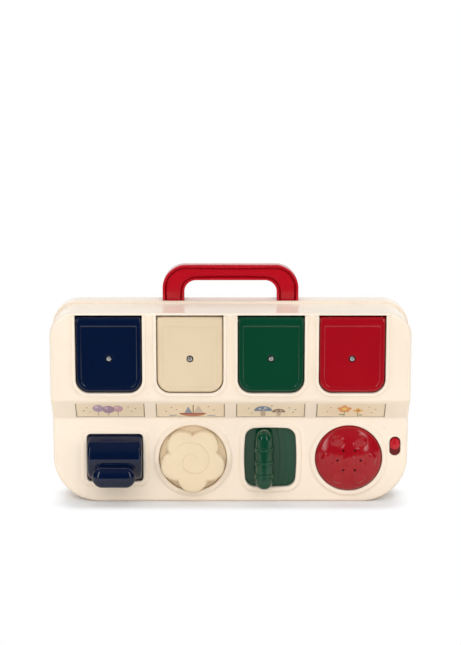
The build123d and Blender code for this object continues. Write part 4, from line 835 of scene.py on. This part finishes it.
def button_shape():
    """Button: a dome of radius R, rounded at the shoulder, with seven caps and six holes, then its skirt."""
    radius, ball, apex, shoulder = [BUTTON[key] for key in ("radius", "ball", "apex", "shoulder")]
    angle = np.linspace(0, 2 * pi, 300, endpoint=False)
    rows = np.concatenate((np.linspace(0, 0.93, 150), 1 - 0.07 * (1 - np.linspace(0, 1, 10)[1:]) ** 2))
    out = rows[:, None] * radius
    first, second = out * np.cos(angle), out * np.sin(angle)
    depth = ball - np.sqrt(ball**2 - out**2) + quarter((out - (radius - shoulder)) / shoulder, shoulder)
    for bump_x, bump_z in ((0.0, BUTTON["lift"]), *six_round(BUTTON["ring"])):
        near = np.hypot(first - bump_x, second - bump_z) / BUTTON["bump"]
        level = ball - sqrt(ball**2 - bump_x**2 - bump_z**2) + 0.25 * near**2 - BUTTON["bump_rise"]
        depth = depth + (level - depth) * smooth((1.2 - near) / 0.55)
    for hole_x, hole_z in six_round(BUTTON["hole_ring"]):
        near = np.hypot(first - hole_x, second - hole_z)
        depth = depth + 1.5 * np.clip((BUTTON["hole"] + 0.12 - near) / 0.3, 0, 1)
    shut = float(apex + depth[-1, 0])
    flange, seat, tail = BUTTON["flange"]
    inside = BUTTON["inside"]
    skirt = np.array(
        [(radius, shut + 0.6), (radius, seat - 0.1), (radius, seat), (flange, seat), (flange, tail),
         (inside, tail), (inside, shut + 1.6)]
    )
    behind = revolve(skirt, (0.0, 0.0, 0.0), "Y", 300)
    points = np.concatenate((upright(first, apex + depth, second), behind))
    return surface(points + np.array((BUTTON["x"], 0.0, BUTTON["z"])))


def door_path(x):
    """Outline of a door opening from its top left, down, round two corners and up to its top right."""
    half, radius = DOOR["half"], DOOR["radius"]
    left, right = x - half + radius, x + half - radius
    height = np.linspace(DOOR["top"] - 0.6, DOOR["bottom"] + radius, 24)
    down = np.stack((np.full(24, x - half), height), axis=1)
    aside = np.tile((-1.0, 0.0), (24, 1))
    return chain(
        (down, aside),
        arc_run((left, DOOR["bottom"] + radius), radius, 180, 270, 16),
        arc_run((right, DOOR["bottom"] + radius), radius, 270, 360, 16),
        (down[::-1] + (2 * half, 0.0), -aside),
    )


def door_rim(x, profile):
    """Rim of a door: it falls back where the deck bends into the roof."""
    points = rim_sweep(door_path(x), profile, UPPER_DECK)
    points[..., 1] += quarter((points[..., 2] - ROOF_BEND["z"]) / ROOF_BEND["radius"], ROOF_BEND["radius"])
    return surface(points, closed=False)


class TOY_OT_shells(bpy.types.Operator):
    """Rounds the edges of the two shells, the battery cover and the wells, and gives them their plastic; the
    wells' dark brown is painted shade
    """

    bl_idname = "toy.shells"
    bl_label = "Shells"

    def execute(self, context):
        edge = context.scene.toy_sizes.edge
        for node in ("front_shell", "rear_shell", "battery_cover"):
            polished(node, finish_of("cream_moulding"), edge)
        for colour in COLOURS:
            polished(f"well_cup_{colour}", finish_of("well_moulding"), edge)
        return {"FINISHED"}


class TOY_OT_rims(bpy.types.Operator):
    """Lays a rounded rim round every opening of the two decks"""

    bl_idname = "toy.rims"
    bl_label = "Rims"

    def execute(self, context):
        sizes = context.scene.toy_sizes
        upper, lower = [
            rim_profile(rim["rise"] * sizes.rim_rise / MM, rim["width"] * sizes.rim_width / MM, rim["skirt"])
            for rim in (DOOR_RIM, LOWER_RIM)
        ]
        material = finish_of("cream_moulding")
        for colour, x in zip(COLOURS, DOOR_XS):
            new_piece(f"rim_{colour}_door", door_rim(x, upper), "case", material)
        slide = (SLIDE["x"], SLIDE["z"], *SLIDE["half"], *SLIDE["bulge"], SLIDE["corner"])
        paths = {
            "rim_lever": rounded_box(LEVER["x"], LEVER["z"], *LEVER["opening"], LEVER["corner"]),
            "rim_knob": arc_run((KNOB["x"], KNOB["z"]), KNOB["recess"], 0, 360, 145),
            "rim_slider": barrel_box(*slide),
            "rim_button": arc_run((BUTTON["x"], BUTTON["z"]), BUTTON["bore"], 0, 360, 145),
        }
        for name, path in paths.items():
            shape = surface(rim_sweep(path, lower, LOWER_DECK))
            new_piece(name, shape, "case", material)
        return {"FINISHED"}


def inside_door(x, z, half, bottom, radius):
    """Distance inside a door's outline from its sides and rounded bottom, positive inwards."""
    over, under = np.abs(x) - (half - radius), bottom + radius - z
    corner = radius - np.hypot(np.maximum(over, 0), np.maximum(under, 0))
    return np.where((over > 0) & (under > 0), corner, np.minimum(half - np.abs(x), z - bottom))


def door_front(x, z):
    """Front of a door: y(x, z) of plate and barrel, its edges rounded and its panel sunk."""
    leaf, foot, corner, border = [DOOR[key] for key in ("leaf", "foot", "round", "border")]
    over = np.clip(z - DOOR["hinge"], 0, DOOR["barrel"] - 0.01)
    depth = DOOR["front"] + DOOR["barrel"] - np.sqrt(DOOR["barrel"] ** 2 - over**2)
    near = np.clip(inside_door(x, z, leaf, foot, corner) / DOOR["edge"], 0, 1)
    depth = depth + quarter(1 - near, DOOR["edge"])
    panel = inside_door(x, z, leaf - border, foot + border, corner - border)
    panel = np.minimum(panel, DOOR["panel_top"] - z)
    return depth + DOOR["sink"] * smooth((panel + 0.5) / 1.3)


def door_shape(x):
    """Door's front: rings between its outline and the screw's hole, lifted by door_front."""
    count = 20
    away = np.concatenate((np.linspace(0, 1, 9) ** 2 * DOOR["edge"], np.linspace(2.2, 5.4, 26)))
    away = away[:, None]
    lift = away * (DOOR["crown"] - DOOR["panel_top"]) / DOOR["border"]
    half, low, high = DOOR["leaf"] - away, DOOR["foot"] + away, DOOR["crown"] - lift
    radius = DOOR["round"] - away
    turn = np.radians(np.linspace(180, 270, count))
    share = np.linspace(0, 1, count)
    down, bend = high + (low + radius - high) * share, low + radius + radius * np.sin(turn)
    left_x = np.concatenate((np.repeat(-half, count, axis=1), -half + radius + radius * np.cos(turn)), axis=1)
    left_z = np.concatenate((down, bend), axis=1)
    top_x = half * (2 * np.linspace(0, 1, 2 * count)[1:-1] - 1)
    ring_x = np.concatenate((left_x, -left_x[:, ::-1], -top_x), axis=1)
    ring_z = np.concatenate((left_z, left_z[:, ::-1], np.broadcast_to(high, top_x.shape)), axis=1)
    angle = np.arctan2(ring_z[-1] - DOOR["screw"], ring_x[-1])
    hole = np.array((6.0, 3.4, 3.15, 3.03, 3.0, 3.0, 3.0, 0.0))[:, None]
    sunk = np.array((0.0, 0.0, 0.04, 0.16, 0.4, 1.2, 2.1, 2.1))[:, None]
    hole_x, hole_z = hole * np.cos(angle), DOOR["screw"] + hole * np.sin(angle)
    skirt = np.full((1, ring_x.shape[1]), DOOR["back"])
    depth = np.concatenate((skirt, door_front(ring_x, ring_z), door_front(hole_x, hole_z) + sunk))
    flat_x = np.concatenate((ring_x[:1], ring_x, hole_x))
    flat_z = np.concatenate((ring_z[:1], ring_z, hole_z))
    return surface(upright(x + flat_x, depth, flat_z))


class TOY_OT_doors(bpy.types.Operator):
    """Makes the four doors: rounded fronts with a sunk panel, and the barrels and catches behind"""

    bl_idname = "toy.doors"
    bl_label = "Doors"

    def execute(self, context):
        looks = {"blue": "navy", "cream": "door_beige", "green": "green", "red": "door_red"}
        for colour, door_x in zip(COLOURS, DOOR_XS):
            material = finish_of(f"{looks[colour]}_moulding")
            body, node = f"{colour}_door", f"door_{colour}"
            leaf = door_shape(door_x)
            new_piece(f"{colour}_leaf", leaf, body, material, (node,), angle=50.0)

            def behind(x, y, z, middle=door_x):
                deep = inside_door(x - middle, z, DOOR["leaf"], DOOR["foot"], DOOR["round"])
                return (y > DOOR["back"] - 0.1) & (deep > 0.1) | (y > DOOR["back"] + 0.3)

            works(f"{colour}_catch", node, material, behind)
        return {"FINISHED"}


class TOY_OT_handle(bpy.types.Operator):
    """Makes the carrying handle"""

    bl_idname = "toy.handle"
    bl_label = "Handle"

    def execute(self, context):
        red = finish_of("red_moulding")
        new_piece("carrying_handle", handle_shape(), "case", red, ("handle",), caps=True)
        return {"FINISHED"}


class TOY_OT_lever(bpy.types.Operator):
    """Makes the lever: drum, thumb paddle and crank"""

    bl_idname = "toy.lever"
    bl_label = "Lever"

    def execute(self, context):
        material = finish_of("navy_moulding")
        new_piece("lever_drum", drum_shape(), "lever", material, ("lever",), caps=True)
        new_piece("lever_paddle", paddle_shape(), "lever", material)
        half, radius = LEVER["inside"]

        def behind(x, y, z):
            reach = np.hypot(y - LEVER["y"], z - LEVER["z"])
            return (np.abs(x - LEVER["x"]) < half) & ((reach < radius) | (y > LEVER["rear"]))

        works("lever_crank", "lever", material, behind)
        return {"FINISHED"}


def dish_shape():
    """Recess round the knob: a section (radius, y) from the hub to a rounded edge, turned round its axis."""
    recess, dish, back, hub = KNOB["recess"], KNOB["dish"], KNOB["back"], KNOB["neck"] + 0.5
    bend = np.radians(np.linspace(0, 90, 7))
    edge = np.stack((recess - 0.9 + 0.4 * np.sin(bend), dish + 0.4 * (1 - np.cos(bend))), axis=1)
    section = np.concatenate(([(hub, back), (hub, dish)], edge, [(recess - 0.5, back + 0.4)]))
    return surface(revolve(section, (KNOB["x"], 0.0, KNOB["z"]), "Y", 145))


class TOY_OT_knob(bpy.types.Operator):
    """Makes the flower knob with its spiral"""

    bl_idname = "toy.knob"
    bl_label = "Knob"

    def execute(self, context):
        groove = context.scene.toy_sizes.groove / MM
        material = finish_of("beige_moulding")
        new_piece("flower", knob_shape(groove), "knob", material, ("flower_knob",))
        new_piece("flower_dish", dish_shape(), "case", material)
        works("flower_shaft", "flower_knob", material, lambda x, y, z: y > KNOB["back"] + 0.05)
        return {"FINISHED"}


class TOY_OT_slider(bpy.types.Operator):
    """Makes the slider: banded grip, carriage and its grooved face"""

    bl_idname = "toy.slider"
    bl_label = "Slider"

    def execute(self, context):
        material = finish_of("green_moulding")
        new_piece("grip", grip_shape(), "slider", material, ("slide_grip",))
        polished("slide_carriage", material, 0.0003)
        new_piece("slide_face", slide_face_shape(), "slider", material)
        return {"FINISHED"}


class TOY_OT_button(bpy.types.Operator):
    """Makes the domed push button"""

    bl_idname = "toy.button"
    bl_label = "Button"

    def execute(self, context):
        material = finish_of("button_red_moulding")
        new_piece("button_dome", button_shape(), "button", material, ("button_cap",))

        def behind(x, y, z):
            reach = np.hypot(x - BUTTON["x"], z - BUTTON["z"])
            inner = np.minimum(reach, BUTTON["radius"])
            front = BUTTON["apex"] + BUTTON["ball"] - np.sqrt(BUTTON["ball"] ** 2 - inner**2)
            return (reach < BUTTON["inside"] + 0.1) & (y > front + 1.2)

        works("button_wedge", "button_cap", material, behind)
        return {"FINISHED"}


def switch_shape():
    """On/off knob: rings out to an upright oval, domed, with a rounded edge and a thumb ridge."""
    x, z = SWITCH["x"], SWITCH["z"]
    path, _ = rounded_box(x, z, *SWITCH["half"], SWITCH["half"][0] - 0.05)
    rows = np.concatenate((np.linspace(0, 0.5, 14), 0.5 + 0.5 * np.sin(np.linspace(0, pi / 2, 12)[1:])))
    share = rows[:, None]
    flat = np.array((x, z)) + share[:, :, None] * (path - (x, z))
    ridge = SWITCH["ridge"] * bell(flat[..., 1] - z, 0.6) * np.clip((0.85 - share) / 0.2, 0, 1)
    depth = SWITCH["front"] + 0.5 * share**2 + quarter((share - 0.5) / 0.5, 2.2) - ridge
    cap = upright(flat[..., 0], depth, flat[..., 1])
    skirt = upright(path[None, :, 0], SWITCH["back"], path[None, :, 1])
    return surface(np.concatenate((cap, skirt)))


class TOY_OT_switch(bpy.types.Operator):
    """Makes the on/off knob and the sliding plate behind it"""

    bl_idname = "toy.switch"
    bl_label = "Switch"

    def execute(self, context):
        red, shaded_plate = finish_of("red_moulding"), finish_of("plate_red_moulding")
        new_piece("on_off_knob", switch_shape(), "power_switch", red, ("switch_knob",))
        # The plate's dark red is painted shade in the slot.
        works("on_off_plate", "switch_knob", shaded_plate, lambda x, y, z: y > SWITCH["back"] - 0.1)
        return {"FINISHED"}


def shank_shape(centre, radius, length, way):
    """Screw's thread: r = R (0.9 + 0.1 cos(2 pi y / 0.9)), tapered at its tip."""
    along = np.linspace(0, length, int(length * 9))
    taper = np.clip((length - along) / (1.2 * radius), 0.02, 1)
    out = radius * (0.9 + 0.1 * np.cos(2 * pi * along / 0.9)) * taper
    return surface(revolve(np.stack((out, -way * along), axis=1), centre, "Y", 24))


class TOY_OT_screws(bpy.types.Operator):
    """Makes the cross-head screws of the doors and the case, and gives the battery cover's screw, the other
    screws, the hinge pins and the axle their steel
    """

    bl_idname = "toy.screws"
    bl_label = "Screws"

    def execute(self, context):
        steel, bright = finish_of("plated_steel"), finish_of("bright_steel")
        for colour in COLOURS:
            low, high = node_box(f"door_screw_{colour}")
            place = ((low[0] + high[0]) / 2, DOOR_SEAT, DOOR["screw"])
            head = screw_head(place, radius=2.05, height=1.4, way=-1)
            shank = shank_shape(place, radius=1.25, length=high[1] - DOOR_SEAT, way=-1)
            shape = join_surfaces((head, shank))
            node = f"door_screw_{colour}"
            new_piece(f"{colour}_door_screw", shape, f"{colour}_door", bright, (node,))
        places = [(x, CASE_SEAT, z) for x, z in CASE_SCREWS]
        heads = [screw_head(place, radius=3.0, height=2.0, way=1) for place in places]
        shanks = [shank_shape(place, radius=1.45, length=14.0, way=1) for place in places]
        new_piece("case_screw_set", join_surfaces(heads + shanks), "case", steel, ("case_screws",))
        dress(("cover_screw", "plate_screws", "board_screws", "knob_screw"), steel)
        dress(("hinge_pins", "lever_axle"), steel)
        return {"FINISHED"}


class TOY_OT_springs(bpy.types.Operator):
    """Winds the springs of the latches, the doors and the button"""

    bl_idname = "toy.springs"
    bl_label = "Springs"

    def execute(self, context):
        steel = finish_of("spring_wire")
        for colour in COLOURS:
            name = f"latch_spring_{colour}"
            low, high = node_box(name)
            length = high[2] - low[2]
            shape = coil((low + high) / 2, "Z", radius=2.0, wire=0.35, length=length, turns=8)
            piece = new_piece(
                f"{colour}_latch_spring", shape, "case", steel, (name,), caps=True
            )
            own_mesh(piece)
        low, high = node_box("button_spring")
        length = high[1] - low[1]
        shape = coil((low + high) / 2, "Y", radius=5.05, wire=0.45, length=length, turns=9, taper=0.73)
        piece = new_piece("push_spring", shape, "case", steel, ("button_spring",), caps=True)
        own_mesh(piece)
        low, high = node_box("door_springs")
        _, y, z = (low + high) / 2
        coils = [coil((x, y, z), "X", radius=2.45, wire=0.4, length=12.8, turns=9) for x in DOOR_XS]
        shape = join_surfaces(coils)
        new_piece("hinge_springs", shape, "case", steel, ("door_springs",), caps=True)
        return {"FINISHED"}


class TOY_OT_inner(bpy.types.Operator):
    """Gives the pieces inside the case their finishes"""

    bl_idname = "toy.inner"
    bl_label = "Inner pieces"

    def execute(self, context):
        latches = tuple(f"latch_{colour}" for colour in COLOURS)
        dress((*latches, "mechanism_plate", "knob_crank"), finish_of("inner_moulding"))
        dress(("switch_body", "speaker"), finish_of("black_moulding"))
        dress(("circuit_board",), finish_of("board_lacquer"))
        dress(("battery_cells",), finish_of("cell_wrap"))
        dress(("battery_contacts",), finish_of("plated_steel"))
        return {"FINISHED"}


def printed(name, x, motif):
    """Printed card under a clear film: rows (kind, colour, shapes) laid over each other, bottom one first.

    A shape is (u, v, a, b): its place and half sizes on the card, in PRINT_SCALE millimetres.
    """
    finish = Finish(bpy.data.materials.new(name))
    place = finish.place()
    across, _, height = finish.parts(place)
    wobble = finish.noise(place, 900.0) * 0.5 - 0.25
    aside = across - x * MM
    u = aside / (PRINT_SCALE[0] * MM) + wobble
    slope = (height - PANEL["z"] * MM) / (PANEL["rise"] * MM)
    v = slope / PRINT_SCALE[1] + wobble
    fibre = finish.noise(finish.stretch(place, (900.0, 300.0, 2400.0)), 1.0, 3.0)
    ink = finish.noise(place, 2600.0).step(0.2, 0.5) * 0.22 + 0.72
    base = finish.mix(fibre.step(0.3, 0.7), rgba(linear(236, 217, 188)), rgba(linear(243, 226, 199)))
    for kind, colour, *shapes in motif:
        for shape_u, shape_v, half_u, half_v in shapes:
            du, dv = (u - shape_u) / half_u, (v - shape_v) / half_v
            if kind == "box":
                mask = (1.0 - abs(du).step(0.9, 1.06)) * (1.0 - abs(dv).step(0.9, 1.06))
            elif kind == "wedge":
                mask = (1.0 - (abs(du) + dv * 0.5).step(0.46, 0.56)) * dv.step(-1.06, -0.94)
            else:
                mask = 1.0 - (du * du + dv * dv).step(0.82, 1.12)
            if kind == "bowl":
                mask = mask * (1.0 - dv.step(-0.06, 0.06))
            base = finish.mix(mask * ink, base, rgba(linear(*colour)))
    # Painted shadow: a dark brown line along the card's sides and bottom stands in for the shade in the gap
    # round the panel.
    edge = (abs(aside) / MM - PANEL["half"]).most(0.0 - slope - PANEL["high"]).step(-0.75, -0.35)
    base = finish.mix(edge * 0.85, base, rgba(linear(92, 68, 46)))
    return finish.close(
        Base_Color=base,
        Roughness=fibre * 0.08 + 0.3,
        Coat_Weight=0.35,
        Normal=finish.bump(fibre, 0.00001),
    )


def specks(colour, *places):
    """Row of small dots scattered round a motif."""
    return ("oval", colour, *[(u, v, 0.55, 0.55) for u, v in places])


PICTURES = {
    "blue": [
        ("box", (150, 132, 140), (-8.2, -3.6, 0.22, 3.4), (-1.2, -4.4, 0.22, 3.2), (5.4, -3.8, 0.22, 3.4)),
        ("oval", (176, 150, 178), (-8.2, 2.6, 3.9, 4.6)),
        ("oval", (214, 194, 212), (-9.4, 4.2, 1.2, 1.5)),
        ("oval", (200, 158, 170), (5.4, 2.2, 3.6, 4.3)),
        ("oval", (228, 198, 204), (4.3, 3.7, 1.1, 1.4)),
        ("oval", (164, 134, 160), (-1.2, 1.2, 4.3, 5.0)),
        ("oval", (206, 184, 204), (-2.6, 3.0, 1.3, 1.7)),
        specks(
            (120, 108, 136),
            (-16.0, 3.4), (-14.2, -2.2), (12.6, 4.6), (14.8, -1.4), (-18.4, -0.6), (17.6, 2.4),
        ),
    ],
    "cream": [
        ("box", (120, 84, 66), (2.0, 1.4, 0.35, 6.0)),
        ("wedge", (206, 190, 174), (5.6, 1.6, 3.6, 5.2)),
        ("wedge", (132, 146, 168), (-1.4, 0.8, 2.8, 4.4)),
        ("bowl", (176, 98, 74), (1.6, -3.6, 9.4, 4.4)),
        ("box", (146, 72, 56), (1.6, -3.9, 9.2, 0.5)),
        ("bowl", (132, 146, 168), (-12.0, -6.0, 3.2, 1.2), (14.4, -6.2, 3.4, 1.2)),
        specks((158, 92, 76), (-13.0, 4.2), (-9.6, 1.0), (12.6, 5.0), (16.4, 0.6), (-16.8, -1.4)),
    ],
    "green": [
        ("box", (196, 172, 146), (-5.2, -3.8, 1.7, 3.8), (5.6, -4.8, 1.4, 2.8)),
        ("bowl", (104, 126, 156), (-5.2, -0.8, 6.4, -6.6)),
        ("bowl", (140, 100, 82), (5.6, -2.6, 4.8, -4.8)),
        ("oval", (214, 210, 206), (-7.4, 2.0, 1.0, 1.0), (-3.6, 3.2, 1.1, 1.1), (-4.8, 0.6, 0.8, 0.8)),
        ("oval", (222, 206, 186), (4.4, -0.9, 0.7, 0.7), (7.0, -0.6, 0.8, 0.8)),
        specks(
            (96, 104, 126),
            (-15.0, 3.0), (-13.0, -3.6), (13.0, 3.4), (15.6, -2.6), (0.8, 5.8), (17.2, 1.2),
        ),
    ],
    "red": [
        ("box", (128, 138, 92), (-4.4, -5.0, 0.3, 3.6), (5.0, -5.6, 0.3, 3.0)),
        ("oval", (128, 138, 92), (-6.2, -5.6, 1.9, 0.8), (6.8, -6.2, 1.7, 0.7)),
        ("oval", (222, 152, 84), (-4.4, 4.6, 1.9, 2.2), (-7.2, 2.4, 2.2, 1.9), (-1.6, 2.4, 2.2, 1.9),
         (-6.0, -0.4, 2.0, 1.9), (-2.8, -0.4, 2.0, 1.9)),
        ("oval", (240, 206, 118), (-4.4, 1.8, 1.8, 1.8)),
        ("oval", (232, 190, 104), (5.0, 1.4, 1.5, 1.7), (2.9, -0.2, 1.6, 1.4), (7.1, -0.2, 1.6, 1.4),
         (5.0, -1.8, 1.5, 1.6)),
        ("oval", (196, 104, 84), (5.0, -0.3, 1.2, 1.2)),
        specks((190, 110, 92), (-14.0, 3.6), (-16.2, -1.8), (12.6, 4.2), (14.6, -2.8), (17.0, 1.4)),
    ],
}


class TOY_OT_pictures(bpy.types.Operator):
    """Prints the four picture panels"""

    bl_idname = "toy.pictures"
    bl_label = "Pictures"

    def execute(self, context):
        for colour, x in zip(COLOURS, DOOR_XS):
            dress((f"picture_panel_{colour}",), printed(f"{colour}_print", x, PICTURES[colour]))
        return {"FINISHED"}


def bust_piece(x, across, up, out, radii):
    """Rounded lump of a figure, placed from the head's middle: X across, -Z up and +Y out of the door."""
    centre = (x + across, FIGURE["y"] + out, FIGURE["head"] - up)
    points, faces = ellipsoid(centre, (radii[0], radii[2], radii[1]))
    points[:, 1] = np.maximum(points[:, 1], FIGURE["back"])
    return points, faces


def bust_pair(x, across, up, out, radii):
    """The same lump on both sides of a figure."""
    return [bust_piece(x, side * across, up, out, radii) for side in (-1, 1)]


def on_head(across, up, lift):
    """Depth of the head's front at a place on it, moved out by lift."""
    return sqrt(FIGURE["radius"] ** 2 - across**2 - up**2) + lift


class TOY_OT_figures(bpy.types.Operator):
    """Models the four animals on the insides of the doors"""

    bl_idname = "toy.figures"
    bl_label = "Figures"

    def execute(self, context):
        for colour, kind, x in zip(COLOURS, FIGURES, DOOR_XS):
            body, slot = f"{colour}_door", f"figure_{kind}"
            fur = [
                bust_piece(x, 0.0, 0.0, 0.0, (FIGURE["radius"],) * 3),
                bust_piece(x, *TORSO),
                *bust_pair(x, *PAWS),
                *bust_pair(x, *EARS[kind]),
            ]
            pale = [bust_piece(x, *BELLY)]
            cheeks = bust_pair(x, 7.6, -3.2, on_head(7.6, 3.2, -0.5), (2.3, 1.7, 1.0))
            dark = bust_pair(x, 5.0, 2.4, on_head(5.0, 2.4, -0.4), (1.5, 1.8, 1.1))
            if kind == "elephant":
                run = np.linspace(0, 1, 24)
                y, z = FIGURE["y"] + 12.2 + 4.0 * np.sin(run * 2.2), FIGURE["head"] - 1.5 + 12.5 * run
                fur.append(tube(upright(x, y, z), (3.3 - 1.2 * run)[:, None, None], 24))
            else:
                pale.append(bust_piece(x, *MUZZLE))
                dark.append(bust_piece(x, *NOSE))
            vinyl = finish_of(f"{kind}_vinyl")
            piece = new_piece(f"{kind}_body", join_surfaces(fur), body, vinyl, (slot,))
            piece.data.validate()
            new_piece(f"{kind}_belly", join_surfaces(pale), body, finish_of("pale_vinyl"))
            lining = join_surfaces(bust_pair(x, *LININGS[kind]) + cheeks)
            new_piece(f"{kind}_lining", lining, body, finish_of("pink_vinyl"))
            new_piece(f"{kind}_eyes", join_surfaces(dark), body, finish_of("eye_vinyl"))
        return {"FINISHED"}


def stage_floor():
    """Floor and backdrop: a flat sheet whose far edge bends up, along an arc of radius R."""
    far, wide, radius = 2600.0, 3600.0, 1200.0
    bend = np.radians(np.linspace(0, 80, 24))[1:]
    run = np.concatenate((np.linspace(-far, far, 40), far + radius * np.sin(bend)))
    rise = np.concatenate((np.zeros(40), radius * (1 - np.cos(bend))))
    return surface(upright(np.linspace(-wide, wide, 30), run[:, None], rise[:, None]), closed=False)


def stage_paper(mirror):
    """White paper: keeps the toy's shadow, else plain white for the camera; dim in mirrors far in front."""
    finish = Finish(bpy.data.materials.new("stage_paper"))
    camera, glossy = finish.rays()
    place = finish.place()
    x, y, _ = finish.parts(place)
    paper = finish.mix(finish.noise(place, 900.0), rgba(linear(246, 249, 254)), rgba(linear(250, 252, 255)))
    front = 1.0 - y.step(-0.46, -0.34)
    seen = finish.mix(1.0 - camera, paper, FLOOR_BOUNCE)
    seen = finish.mix(front * glossy, seen, (mirror, mirror, mirror, 1.0))
    aside = (abs(x) - 0.13).most(0.0) / 0.03
    along = (abs(y + 0.018) - 0.013).most(0.0) / 0.028
    fade = (aside * aside + along * along).step(0.0, 1.0) * camera
    behind = y.step(0.25, 0.6) * glossy
    sockets = {"Base Color": seen, "Roughness": 0.9, "Specular IOR Level": 0.1}
    matt = finish.wire("ShaderNodeBsdfPrincipled", {}, sockets)
    white = finish.wire("ShaderNodeEmission", {}, {"Color": WHITE, "Strength": 1.0})
    both = finish.wire("ShaderNodeMixShader", {}, {0: fade.most(behind), 1: matt, 2: white})
    finish.node("ShaderNodeOutputMaterial", {}, {"Surface": both})
    return finish.holder


def studio(sky, mirror):
    """World: white for the camera, sky for light from all round, a dim room in mirrors, lighter above."""
    world = bpy.data.worlds.new("studio")
    finish = Finish(world)
    camera, glossy = finish.rays()
    _, _, height = finish.parts(finish.wire("ShaderNodeNewGeometry", {}, {}, "Incoming"))
    room = (0.0 - height).step(0.25, 0.9) * (6.0 * mirror) + mirror
    strength = camera + (1.0 - camera) * (glossy * (room - sky) + sky)
    light = finish.wire("ShaderNodeBackground", {}, {"Color": WHITE, "Strength": strength})
    finish.node("ShaderNodeOutputWorld", {}, {"Surface": light})
    return world


class TOY_OT_stage(bpy.types.Operator):
    """Lays the floor and sets the lamps and the camera"""

    bl_idname = "toy.stage"
    bl_label = "Stage"

    def execute(self, context):
        scene = context.scene
        settings = scene.toy_stage
        points, faces = stage_floor()
        mesh = bpy.data.meshes.new("stage_floor")
        mesh.from_pydata((points * MM).tolist(), [], faces.tolist())
        mesh.shade_smooth()
        mesh.materials.append(stage_paper(settings.mirror))
        floor = bpy.data.objects.new("stage_floor", mesh)
        scene.collection.objects.link(floor)
        scene.world = studio(settings.sky, settings.mirror)
        lamps = (
            ("key", (0.0, -2.3, 1.95), settings.key, (2.4, 1.6), False),
            ("top", (0.0, 1.0, 2.6), settings.top, (2.6, 2.2), False),
            ("back", (0.0, 2.4, 1.3), settings.back, (2.4, 1.4), False),
            ("left", (-0.82, -1.15, 0.62), settings.side, (0.2, 1.2), True),
            ("right", (0.82, -1.15, 0.62), settings.side, (0.2, 1.2), True),
        )
        for name, place, power, size, mirrored in lamps:
            lamp = bpy.data.lights.new(name, "AREA")
            lamp.energy = power
            lamp.shape = "RECTANGLE"
            lamp.size, lamp.size_y = size
            holder = bpy.data.objects.new(name, lamp)
            holder.location = place
            holder.visible_glossy = mirrored
            aim = Vector(LAMP_AIM) - holder.location
            holder.rotation_euler = aim.to_track_quat("-Z", "Y").to_euler()
            scene.collection.objects.link(holder)
        eye = bpy.data.cameras.new("camera")
        eye.lens = settings.lens
        eye.sensor_width = 36.0
        eye.clip_end = 50.0
        camera = bpy.data.objects.new("camera", eye)
        camera.location = CAMERA_PLACE
        camera.rotation_euler = (pi / 2 - settings.tilt, 0.0, 0.0)
        scene.collection.objects.link(camera)
        scene.camera = camera
        scene.view_settings.view_transform = "Standard"
        return {"FINISHED"}


OPERATORS = (
    TOY_OT_shells, TOY_OT_rims, TOY_OT_doors, TOY_OT_handle, TOY_OT_lever, TOY_OT_knob, TOY_OT_slider,
    TOY_OT_button, TOY_OT_switch, TOY_OT_pictures, TOY_OT_figures, TOY_OT_screws, TOY_OT_springs,
    TOY_OT_inner, TOY_OT_stage,
)


class TOY_PT_panel(bpy.types.Panel):
    """Lists the groups in the order they are built"""

    bl_idname = "TOY_PT_panel"
    bl_label = "Pop-up toy"
    bl_space_type = "VIEW_3D"
    bl_region_type = "UI"
    bl_category = "Toy"

    def draw(self, context):
        scene = context.scene
        for group in (scene.toy_colours, scene.toy_sizes, scene.toy_stage):
            box = self.layout.box()
            for name in group.__annotations__:
                box.prop(group, name)
        for operator in OPERATORS:
            self.layout.operator(operator.bl_idname)


GROUPS = {"toy_colours": ToyColours, "toy_sizes": ToySizes, "toy_stage": ToyStage}


def register():
    for item in (*GROUPS.values(), *OPERATORS, TOY_PT_panel):
        bpy.utils.register_class(item)
    for name, group in GROUPS.items():
        setattr(bpy.types.Scene, name, PointerProperty(type=group))


def unregister():
    for name in GROUPS:
        delattr(bpy.types.Scene, name)
    for item in reversed((*GROUPS.values(), *OPERATORS, TOY_PT_panel)):
        bpy.utils.unregister_class(item)


def main():
    register()
    bpy.ops.toy.shells()
    bpy.ops.toy.rims()
    bpy.ops.toy.doors()
    bpy.ops.toy.handle()
    bpy.ops.toy.lever()
    bpy.ops.toy.knob()
    bpy.ops.toy.slider()
    bpy.ops.toy.button()
    bpy.ops.toy.switch()
    bpy.ops.toy.pictures()
    bpy.ops.toy.figures()
    bpy.ops.toy.screws()
    bpy.ops.toy.springs()
    bpy.ops.toy.inner()
    bpy.ops.toy.stage()


if __name__ == "__main__":
    main()
